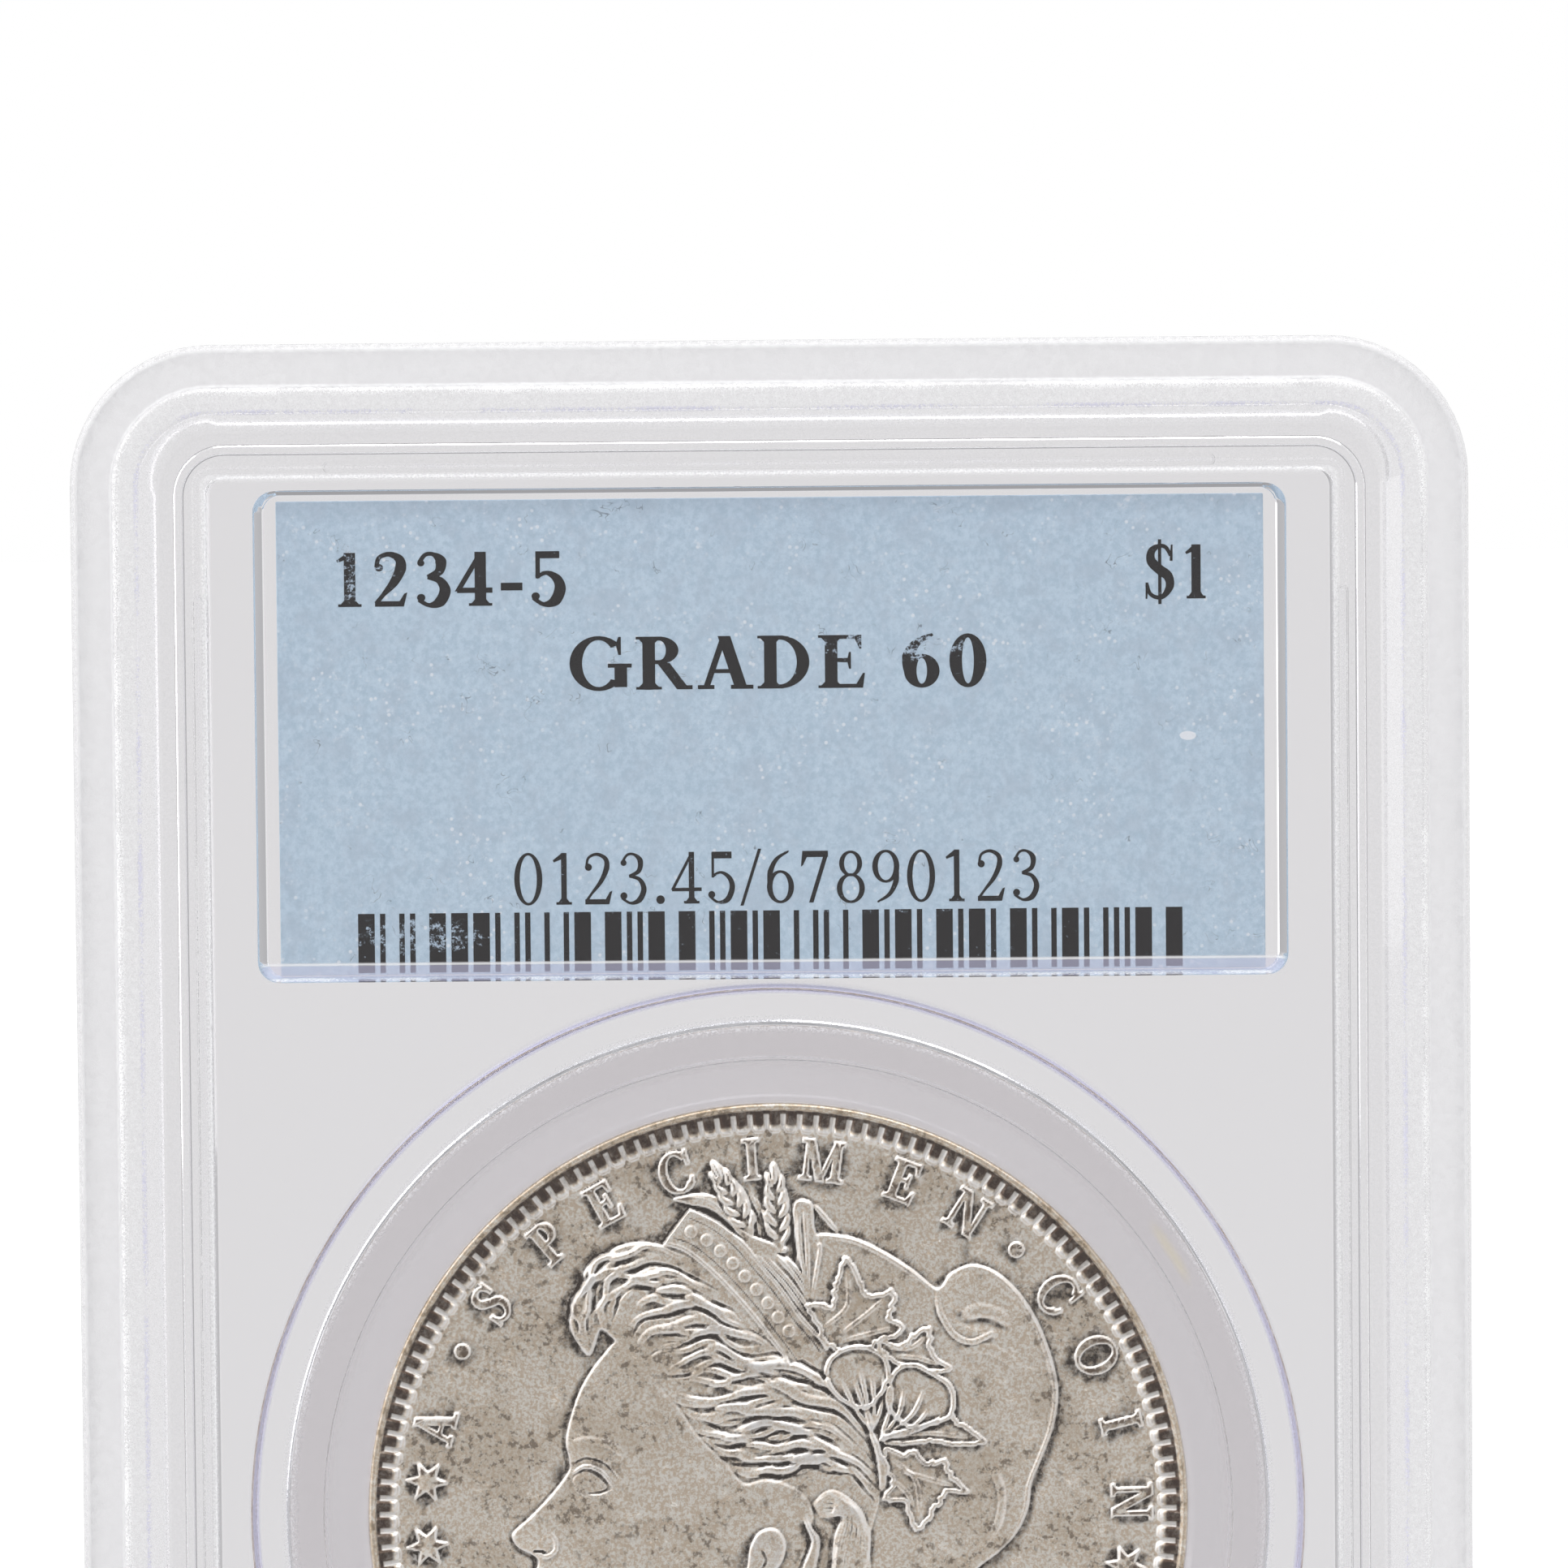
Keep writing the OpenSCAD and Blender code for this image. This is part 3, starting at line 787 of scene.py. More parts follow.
def serif_figure(sign, t, h):
    """Convex parts and width of one figure, one unit high; t is its thick stroke and h its thin one."""
    hair = h * 1.3
    left = stem(0.2, t)
    shapes = {
        "E": lambda: (left + [bar(0.2, 1 - h, 0.66, 1), bar(0.2, 0, 0.68, h), bar(0.2, 0.49, 0.5, 0.49 + h),
                              [(0.66, 1), (0.66, 0.74), (0.63, 0.74), (0.56, 1 - h)],
                              [(0.68, 0), (0.71, 0.28), (0.68, 0.28), (0.58, h)],
                              [(0.5, 0.36), (0.5, 0.68), (0.47, 0.68), (0.44, 0.52), (0.47, 0.36)]], 0.8),
        "A": lambda: ([slant(0.14, 0, 0.42, 1, hair), slant(0.68, 0, 0.42, 1, t),
                       bar(0.24, 0.3, 0.6, 0.3 + h),
                       bar(0.02, 0, 0.27, h), bar(0.52, 0, 0.86, h)], 0.88),
        "S": lambda: (pen([(0.56, 0.8), (0.46, 0.95), (0.32, 0.975), (0.17, 0.88), (0.16, 0.7), (0.33, 0.54),
                           (0.5, 0.42), (0.54, 0.24), (0.42, 0.06), (0.27, 0.025), (0.13, 0.1), (0.07, 0.26)],
                          [h, h, h, t * 0.8, t, t, t, t * 0.9, hair, h, h, h])
                      + [[(0.54, 0.7), (0.6, 0.7), (0.6, 1), (0.565, 1)],
                         [(0.04, 0), (0.075, 0), (0.1, 0.3), (0.04, 0.3)]], 0.7),
        "P": lambda: (left + bowl(0.36, 0.74, 0.29, 0.26, -90, 90, t, h)
                      + [bar(0.2, 1 - h, 0.37, 1), bar(0.2, 0.48, 0.37, 0.48 + h)], 0.72),
        "R": lambda: (serif_figure("P", t, h)[0] + [slant(0.72, 0, 0.42, 0.5, t), bar(0.62, 0, 0.86, h)],
                      0.88),
        "D": lambda: (left + bowl(0.34, 0.5, 0.45, 0.5, -90, 90, t, h)
                      + [bar(0.2, 1 - h, 0.35, 1), bar(0.2, 0, 0.35, h)], 0.88),
        "C": lambda: (bowl(0.5, 0.5, 0.44, 0.52, 42, 318, t, h)
                      + [[(0.8, 1), (0.84, 1), (0.84, 0.66), (0.8, 0.66), (0.76, 0.86)],
                         [(0.82, 0.15), (0.86, 0.3), (0.82, 0.32), (0.7, 0.08)]], 0.92),
        "G": lambda: (bowl(0.5, 0.5, 0.44, 0.52, 42, 318, t, h)
                      + [[(0.8, 1), (0.84, 1), (0.84, 0.66), (0.8, 0.66), (0.76, 0.86)],
                         bar(0.74, 0.05, 0.74 + t, 0.44), bar(0.64, 0.42, 1, 0.42 + h)], 1.02),
        "I": lambda: (stem(0.22, t), 0.44),
        "O": lambda: (bowl(0.5, 0.5, 0.45, 0.52, 0, 360, t, h, 40), 1.0),
        "M": lambda: (stem(0.16, hair, head=False) + stem(0.9, t, head=False)
                      + [slant(0.53, 0, 0.2, 1, t), slant(0.53, 0, 0.88, 1, hair), bar(0.02, 1 - h, 0.26, 1),
                         bar(0.82, 1 - h, 1.06, 1)], 1.1),
        "N": lambda: (stem(0.17, hair, head=False) + stem(0.76, hair, foot=False)
                      + [slant(0.74, 0, 0.2, 1, t), bar(0.02, 1 - h, 0.26, 1)], 0.94),
        "0": lambda: (bowl(0.33, 0.5, 0.28, 0.51, 0, 360, t, h, 32), 0.66),
        "1": lambda: (stem(0.34, t, head=False) + [[(0.3, 1), (0.12, 0.86), (0.14, 0.82), (0.3, 0.88)]],
                      0.66),
        "2": lambda: (pen([(0.09, 0.72), (0.13, 0.9), (0.3, 0.97), (0.47, 0.88), (0.49, 0.7), (0.38, 0.45),
                           (0.2, 0.22), (0.08, 0.06)], [h, h, h * 1.2, t * 0.8, t, t * 0.8, h, h])
                      + [bar(0.06, 0, 0.54, 0.1), [(0.54, 0), (0.6, 0.26), (0.55, 0.24), (0.47, 0.1)],
                         disc(0.13, 0.72, 0.07)], 0.66),
        "3": lambda: (pen([(0.1, 0.8), (0.2, 0.95), (0.34, 0.96), (0.46, 0.84), (0.43, 0.64), (0.24, 0.54)],
                          [h, h, h, t, t * 0.8, h])
                      + pen([(0.24, 0.54), (0.44, 0.48), (0.53, 0.29), (0.44, 0.08), (0.26, 0.02),
                             (0.09, 0.12)], [h, t * 0.7, t, t, h, h])
                      + [disc(0.13, 0.8, 0.06), disc(0.13, 0.16, 0.07)], 0.66),
        "4": lambda: (stem(0.42, t, head=False)
                      + [slant(0.04, 0.27, 0.44, 1, hair), bar(0.03, 0.24, 0.62, 0.24 + hair)], 0.66),
        "5": lambda: (pen([(0.13, 0.52), (0.3, 0.6), (0.47, 0.5), (0.53, 0.31), (0.44, 0.08), (0.25, 0.02),
                           (0.08, 0.14)], [h, h, t * 0.8, t, t, h, h])
                      + [bar(0.12, 0.5, 0.12 + h, 0.97), bar(0.12, 0.87, 0.52, 1), disc(0.12, 0.17, 0.07)],
                      0.66),
        "6": lambda: (bowl(0.33, 0.31, 0.27, 0.32, 0, 360, t, h, 28)
                      + pen([(0.11, 0.32), (0.13, 0.6), (0.26, 0.85), (0.5, 1)],
                            [t * 0.6, t, t * 0.7, h * 0.6]), 0.66),
        "7": lambda: ([bar(0.07, 0.88, 0.58, 1), slant(0.24, 0, 0.53, 0.9, t * 0.8),
                       [(0.07, 1), (0.04, 0.7), (0.08, 0.72), (0.16, 0.88)]], 0.66),
        "8": lambda: (bowl(0.33, 0.75, 0.23, 0.25, 0, 360, t * 0.9, h, 26)
                      + bowl(0.33, 0.27, 0.28, 0.29, 0, 360, t, h, 28), 0.66),
        "9": lambda: (bowl(0.33, 0.69, 0.27, 0.32, 0, 360, t, h, 28)
                      + pen([(0.55, 0.68), (0.53, 0.4), (0.4, 0.15), (0.16, 0)],
                            [t * 0.6, t, t * 0.7, h * 0.6]), 0.66),
        "$": lambda: (serif_figure("S", t, h)[0] + [bar(0.3, -0.1, 0.3 + h * 0.9, 1.1)], 0.7),
        ".": lambda: ([disc(0.16, 0.08, 0.085)], 0.32),
        "-": lambda: ([bar(0.06, 0.28, 0.42, 0.28 + h * 1.9)], 0.48),
        "/": lambda: ([slant(0.02, -0.05, 0.38, 1.05, hair)], 0.42),
        " ": lambda: ([], 0.36),
    }
    return shapes[sign]()


# ---------------------------------------------------------------- the label's print
# Lines of print: text, left edge, right edge, base line and height, in millimetres from the label's lower
# left corner, then the thick and thin strokes of its figures.

PRINT_LINES = (
    ("1234-5", 2.45, 13.5, 17.1, 2.5, 0.19, 0.075),
    ("$1", 40.15, 43.3, 17.15, 2.5, 0.19, 0.075),
    ("GRADE 60", 13.35, 33.0, 13.15, 2.45, 0.19, 0.075),
    ("0123.45/67890123", 10.75, 35.4, 3.2, 2.4, 0.11, 0.05),
)
BARCODE = (3.6, 41.85, 0.1, 2.85)
INK = 0.008


def fill_outlines(bm, parts):
    """Fills the union of flat parts, given in millimetres on the label, with ink of its own thickness."""
    points = []
    faces = []
    for part in parts:
        turn = sum(a[0] * b[1] - b[0] * a[1] for a, b in zip(part, part[1:] + part[:1]))
        corners = list(range(len(points), len(points) + len(part)))
        faces.append(corners if turn > 0 else corners[::-1])
        points += [Vector(p) for p in part]
    points, _, faces, _, _, sources = geometry.delaunay_2d_cdt(points, [], faces, 0, 1e-4)
    front = [bm.verts.new(((x - LABEL_W / 2) * MM, (LABEL_FRONT - INK) * MM,
                           (label_low[2] + y) * MM)) for x, y in points]
    made = [bm.faces.new([front[i] for i in face]) for face, source in zip(faces, sources) if source]
    bmesh.ops.delete(bm, geom=[v for v in front if not v.link_faces], context="VERTS")
    grown = bmesh.ops.extrude_face_region(bm, geom=made)["geom"]
    for vertex in (v for v in grown if isinstance(v, bmesh.types.BMVert)):
        vertex.co.y = (LABEL_FRONT - 0.001) * MM


def make_print(material):
    """Four lines of serif figures, as ink that stands on the paper."""
    bm = bmesh.new()
    for text, left, right, low, height, thick, thin in PRINT_LINES:
        figures = [serif_figure(sign, thick, thin) for sign in text]
        natural = sum(wide for _, wide in figures) + 0.04 * (len(text) - 1)
        stretch = (right - left) / natural
        x = left
        for parts, wide in figures:
            if parts:
                fill_outlines(bm, [[(x + px * stretch, low + py * height) for px, py in part]
                                   for part in parts])
            x += (wide + 0.04) * stretch
    return make_object("label_print", bm, material, weighted=False)


def make_barcode(material):
    """Upright bars in five-bar groups, two wide and three narrow in each."""
    left, right, low, high = BARCODE
    pairs = [(i, j) for i in range(5) for j in range(i + 1, 5)]
    sizes = []
    for group in range(9):
        bars, gaps = pairs[(7 * group + 3) % 10], pairs[(3 * group + 5) % 10]
        for k in range(5):
            sizes += [3.1 if k in bars else 1.0, 2.6 if k in gaps else 1.0]
    unit = (right - left) / sum(sizes[:-1])
    bm = bmesh.new()
    x = left
    for wide, gap in zip(sizes[::2], sizes[1::2]):
        fill_outlines(bm, [bar(x, low, x + wide * unit, high)])
        x += (wide + gap) * unit
    return make_object("label_barcode", bm, material, weighted=False)


# ---------------------------------------------------------------- relief

# How high a whole layer stands, in millimetres, and how much of their height strokes and swells keep.
LEVEL = 0.32
DETAIL = 0.62

# Foot and height of the legend's figures, the circle of stars, and the wreath with its leaves and berries.
LEGEND_FOOT = 15.55
LEGEND_H = 1.85
STARS_R = 16.4
WREATH_R = 11.2
LEAF_REACH = 1.9
BERRY_R = 13.6


class Relief:
    """A grid of heights over the coin's field, in millimetres, with layers and strokes worked into it."""

    def __init__(self, reach, pitch):
        self.pitch = pitch
        self.axis = np.arange(-reach, reach + pitch / 2, pitch)
        self.x, self.y = np.meshgrid(self.axis, self.axis)
        self.h = np.zeros_like(self.x)

    def window(self, points, margin):
        """The part of the grid that some points and a margin cover."""
        low, high = np.min(points, axis=0) - margin, np.max(points, axis=0) + margin
        last = len(self.axis)
        i0, j0 = np.clip(((low - self.axis[0]) / self.pitch).astype(int), 0, last)
        i1, j1 = np.clip(((high - self.axis[0]) / self.pitch).astype(int) + 2, 1, last)
        return slice(j0, j1), slice(i0, i1)

    @staticmethod
    def to_line(x, y, a, b):
        """Distance to the line a to b, and how far along it."""
        dx, dy = b[0] - a[0], b[1] - a[1]
        t = np.clip(((x - a[0]) * dx + (y - a[1]) * dy) / max(dx * dx + dy * dy, 1e-12), 0, 1)
        return np.hypot(x - a[0] - t * dx, y - a[1] - t * dy), t

    def layer(self, outline, level, edge=0.12, dome=0.0, width=1.0, add=False):
        """Brings the inside of an outline to a level, with a bevelled edge and a domed middle."""
        p = np.asarray(outline, float)
        w = self.window(p, edge)
        x, y = self.x[w], self.y[w]
        near = np.full(x.shape, 1e9)
        odd = np.zeros(x.shape, bool)
        for a, b in zip(p, np.roll(p, -1, axis=0)):
            near = np.minimum(near, self.to_line(x, y, a, b)[0])
            if a[1] != b[1]:
                odd ^= ((y < a[1]) != (y < b[1])) & (x < (b[0] - a[0]) * (y - a[1]) / (b[1] - a[1]) + a[0])
        deep = np.where(odd, near, -near)
        share = np.clip(deep / edge + 0.5, 0, 1)
        share = share * share * (3 - 2 * share)
        top = LEVEL * (level + dome * (1 - np.exp(-np.maximum(deep, 0) / width)))
        self.h[w] = self.h[w] + share * top if add else self.h[w] * (1 - share) + share * top

    def figure(self, parts, height, edge=0.1):
        """Raises overlapping convex parts as one flat-topped figure."""
        w = self.window(np.concatenate([np.asarray(p, float) for p in parts]), edge)
        x, y = self.x[w], self.y[w]
        best = np.full(x.shape, -1e9)
        for part in parts:
            p = np.asarray(part, float)
            if np.sum(p[:, 0] * np.roll(p[:, 1], -1) - np.roll(p[:, 0], -1) * p[:, 1]) < 0:
                p = p[::-1]
            deep = np.full(x.shape, 1e9)
            for a, b in zip(p, np.roll(p, -1, axis=0)):
                side = math.hypot(b[0] - a[0], b[1] - a[1])
                if side > 1e-9:
                    deep = np.minimum(deep, ((b[0] - a[0]) * (y - a[1]) - (b[1] - a[1]) * (x - a[0])) / side)
            best = np.maximum(best, deep)
        share = np.clip(best / edge + 1.0, 0, 1)
        self.h[w] += share * share * (3 - 2 * share) * height

    def stroke(self, points, width, height, taper=(0.2, 0.25), smooth=True):
        """A rounded ridge along a path, or a groove where height is negative, thin at its ends."""
        path = spline(points) if smooth else np.asarray(points, float)
        w = self.window(path, width)
        x, y = self.x[w], self.y[w]
        best = np.zeros(x.shape)
        count = len(path) - 1
        sizes = np.interp(np.arange(count + 1) / count, [0, taper[0], 1 - taper[1], 1], [0.25, 1, 1, 0.2])
        for i in range(count):
            away, t = self.to_line(x, y, path[i], path[i + 1])
            size = sizes[i] + (sizes[i + 1] - sizes[i]) * t
            best = np.maximum(best, size * np.clip(1 - (away / (width * (0.2 + 0.3 * size))) ** 2, 0, 1))
        self.h[w] += best * height * DETAIL

    def cord(self, outline, width, height):
        """An even ridge round a closed outline."""
        self.stroke(np.concatenate([outline, outline[:1]]), width, height, (0.01, 0.01), smooth=False)

    def swell(self, x, y, rx, ry, height, turn=0.0):
        """A soft round rise or hollow."""
        reach = 2.6 * max(rx, ry)
        w = self.window(np.array([[x - reach, y - reach], [x + reach, y + reach]]), 0)
        dx, dy = self.x[w] - x, self.y[w] - y
        c, s = math.cos(math.radians(turn)), math.sin(math.radians(turn))
        self.h[w] += height * DETAIL * np.exp(-((dx * c + dy * s) / rx) ** 2 - ((dy * c - dx * s) / ry) ** 2)

    def star(self, angle, radius, size=0.98):
        """A six-pointed star with ridged points, on a circle, its angle from the top."""
        a = math.radians(angle)
        cx, cy = radius * math.sin(a), radius * math.cos(a)
        turns = [math.pi / 2 - a + math.pi * i / 6 for i in range(12)]
        points = [(cx + size * (1 - 0.48 * (i % 2)) * math.cos(turns[i]),
                   cy + size * (1 - 0.48 * (i % 2)) * math.sin(turns[i]))
                  for i in range(12)]
        self.layer(points, 0.4, edge=0.12, dome=0.5, width=0.5, add=True)

    def legend(self, text, angles, low, height, rise):
        """Figures standing on a circle, each centred on its own angle from the top."""
        for sign, angle in zip(text, angles):
            c, s = math.cos(math.radians(angle)), math.sin(math.radians(angle))
            if sign == ".":
                figure, wide = [disc(0, 0.5, 0.17)], 0.0
            else:
                figure, wide = serif_figure(sign, 0.17, 0.06)
            placed = [[((low + y * height) * s + (x - wide / 2) * height * c,
                        (low + y * height) * c - (x - wide / 2) * height * s)
                       for x, y in part] for part in figure]
            self.figure(placed, rise)


# ---------------------------------------------------------------- the coin's front
# Points are millimetres right of and above the coin's centre.

FACE_THIRD = 4.8
FACE_TOP = (-8.85, 7.3)
FACE_TILT = math.radians(12)


def on_face(u, v):
    """A point on the head: u forward from the brow line, v up from the chin, in thirds of the face."""
    along, forward = (v - 3) * FACE_THIRD, u * FACE_THIRD
    c, s = math.cos(FACE_TILT), math.sin(FACE_TILT)
    return (FACE_TOP[0] + along * s - forward * c, FACE_TOP[1] + along * c + forward * s)


def carve_face(r):
    """A calm, generic profile on textbook thirds, looking left, with its neck."""
    profile = [(-0.16, 3.05), (-0.02, 2.72), (0.03, 2.4), (0.03, 2.15), (-0.04, 1.97), (-0.05, 1.86),
               (0.06, 1.62), (0.22, 1.36), (0.34, 1.2), (0.35, 1.12), (0.27, 1.04), (0.1, 0.99),
               (0.06, 0.9), (0.11, 0.78), (0.15, 0.71), (0.13, 0.65), (0.06, 0.6), (0.11, 0.55),
               (0.11, 0.48), (0.05, 0.4), (0.0, 0.32), (0.03, 0.22), (0.05, 0.12), (0.0, 0.02),
               (-0.12, -0.05), (-0.42, -0.1), (-0.72, -0.2), (-0.92, -0.42), (-1.0, -0.75), (-0.98, -1.05),
               (-0.8, -1.3), (-0.75, -1.42), (-1.0, -1.48), (-1.4, -1.4), (-1.9, -1.28), (-2.4, -1.3),
               (-2.75, -1.2), (-2.7, -0.7), (-2.6, -0.2), (-2.9, 0.5), (-3.4, 1.4), (-3.4, 2.4),
               (-2.9, 3.2), (-2.0, 3.7), (-1.0, 3.7), (-0.4, 3.4)]
    outline = spline([on_face(u, v) for u, v in profile], closed=True, steps=4)
    r.layer(outline, 0.32, edge=0.2, dome=0.42, width=2.2)
    for u, v, ru, rv, height, turn in (
            (-0.55, 0.95, 0.38, 0.34, 0.12, 0), (-0.3, 1.8, 0.2, 0.13, -0.13, 0),
            (-0.16, 2.12, 0.2, 0.09, 0.06, 0),
            (0.08, 1.13, 0.15, 0.12, 0.07, 0), (-0.1, 0.18, 0.18, 0.17, 0.07, 0),
            (-0.22, 0.6, 0.12, 0.2, -0.05, 0),
            (-0.95, 0.15, 0.6, 0.2, 0.08, 18), (-1.1, -0.55, 0.3, 0.45, 0.06, 0)):
        r.swell(*on_face(u, v), ru * FACE_THIRD, rv * FACE_THIRD, 1.5 * height, turn - 12)
    for points, width, height in (
            ([(-0.04, 2.16), (-0.2, 2.21), (-0.42, 2.2), (-0.62, 2.08)], 0.42, 0.05),
            ([(-0.1, 1.86), (-0.2, 1.95), (-0.36, 1.93), (-0.52, 1.8)], 0.22, 0.11),
            ([(-0.12, 1.73), (-0.26, 1.68), (-0.4, 1.7), (-0.52, 1.78)], 0.2, 0.07),
            ([(-0.08, 1.95), (-0.2, 2.03), (-0.38, 2.01), (-0.55, 1.88)], 0.16, -0.05),
            ([(0.06, 1.02), (-0.02, 1.02), (-0.08, 1.1), (-0.05, 1.2), (0.02, 1.25)], 0.24, 0.07),
            ([(0.14, 1.03), (0.06, 1.05), (0.0, 1.04)], 0.2, -0.09),
            ([(0.06, 0.6), (-0.05, 0.605), (-0.17, 0.6)], 0.16, -0.11),
            ([(0.1, 0.69), (-0.01, 0.68), (-0.14, 0.62)], 0.38, 0.05),
            ([(0.09, 0.52), (-0.02, 0.51), (-0.13, 0.57)], 0.42, 0.05)):
        r.stroke([on_face(u, v) for u, v in points], width, 1.5 * height)
    eye = ((-0.11, 1.8), (-0.2, 1.9), (-0.33, 1.88), (-0.44, 1.79), (-0.33, 1.72), (-0.2, 1.71))
    r.layer(spline([on_face(u, v) for u, v in eye], closed=True), 0.16, edge=0.1, dome=0.14, width=0.3,
            add=True)
    r.swell(*on_face(-0.19, 1.81), 0.24, 0.28, -0.06)
    ear = [(-1.92, 1.5), (-1.98, 1.66), (-2.12, 1.72), (-2.24, 1.62), (-2.25, 1.42), (-2.14, 1.2),
           (-2.04, 1.02), (-1.94, 0.98), (-1.9, 1.12), (-1.93, 1.3)]
    r.layer(spline([on_face(u, v) for u, v in ear], closed=True), 0.3, edge=0.2, dome=0.2, width=0.3,
            add=True)
    fold = ((-1.97, 1.3), (-1.98, 1.55), (-2.1, 1.64), (-2.19, 1.52), (-2.17, 1.32), (-2.06, 1.16))
    r.stroke([on_face(u, v) for u, v in fold], 0.26, 0.09)
    r.stroke([on_face(u, v) for u, v in ((-2.03, 1.5), (-2.1, 1.4), (-2.05, 1.26))], 0.24, -0.09)


def carve_cap(r):
    """Soft cap that folds over at the back, edged with a thin cord."""
    front = [(1.2, 12.6), (2.2, 12.95), (3.6, 12.75), (5.0, 12.1), (6.3, 11.25), (7.45, 10.35)]
    back = [(8.1, 11.0), (9.1, 11.42), (10.15, 11.12), (11.2, 10.2), (12.0, 9.0), (12.6, 7.6), (13.0, 6.1),
            (13.05, 5.0), (12.8, 3.7), (12.3, 2.4), (11.82, 1.2), (11.62, 0.0), (11.1, -1.1), (10.3, -1.95)]
    inner = [(9.2, -2.8), (8.2, -3.8), (7.0, -5.0), (5.8, -5.9), (4.6, -5.6), (4.3, -3.6), (4.3, -1.0),
             (4.8, 1.2), (4.4, 4.0), (3.2, 7.0), (1.6, 9.5), (0.9, 11.3)]
    r.layer(spline(front + back + inner, closed=True), 0.34, edge=0.2, dome=0.4, width=2.2)
    r.stroke([(x - 0.06, y - 0.12) for x, y in front[1:]], 0.28, 0.12)
    r.stroke([(x - 0.14, y - 0.06) for x, y in back], 0.26, 0.1)
    lobe = [(7.6, 10.2), (8.2, 10.9), (9.1, 11.25), (10.1, 10.95), (11.1, 10.0), (11.8, 8.9), (11.9, 7.8),
            (11.0, 7.6), (10.2, 8.1), (9.4, 7.95), (8.6, 8.1), (7.95, 8.7), (7.6, 9.4)]
    r.layer(spline(lobe, closed=True), 0.05, edge=0.6, dome=0.2, width=0.8, add=True)
    for points, width, height in (
            ([(7.5, 10.25), (7.55, 9.5), (7.8, 8.85), (8.3, 8.15), (9.0, 7.85), (9.6, 8.02), (10.0, 8.2),
              (10.35, 8.0)], 0.34, 0.13),
            ([(8.7, 9.0), (9.4, 9.3), (10.2, 9.1), (10.7, 8.7)], 0.8, 0.1),
            ([(8.0, 9.4), (8.9, 8.8), (10.0, 8.7), (10.9, 8.3)], 0.7, -0.1),
            ([(9.0, 7.55), (9.8, 7.5), (10.7, 7.1), (11.5, 6.4)], 0.6, 0.07),
            ([(8.2, 7.6), (8.7, 7.1), (9.6, 6.6)], 0.7, -0.06),
            ([(9.6, 5.4), (10.8, 4.7), (12.0, 4.6)], 1.2, -0.06),
            ([(9.9, 2.0), (10.3, 1.2), (10.42, 0.3), (10.2, -0.7), (9.6, -1.6)], 0.45, 0.09),
            ([(10.4, 2.1), (10.8, 1.1), (10.8, -0.2), (10.4, -1.1)], 0.7, -0.06),
            ([(11.9, 3.9), (11.2, 3.4), (10.3, 3.5)], 0.9, 0.06),
            ([(7.2, -1.2), (8.3, -1.9), (8.9, -2.6)], 0.8, 0.07),
            ([(6.2, -1.6), (6.9, -2.8), (7.0, -4.2)], 0.9, -0.07)):
        r.stroke(points, width, height)


def swing(path, reach, waves, phase):
    """Lets a path swing from side to side."""
    p = spline(path, steps=7)
    t = np.linspace(0, 1, len(p))
    sway = reach * np.sin(2 * math.pi * waves * t + phase) * np.sqrt(np.sin(math.pi * np.clip(t * 1.1, 0, 1)))
    return p + sideways(p) * sway[:, None]


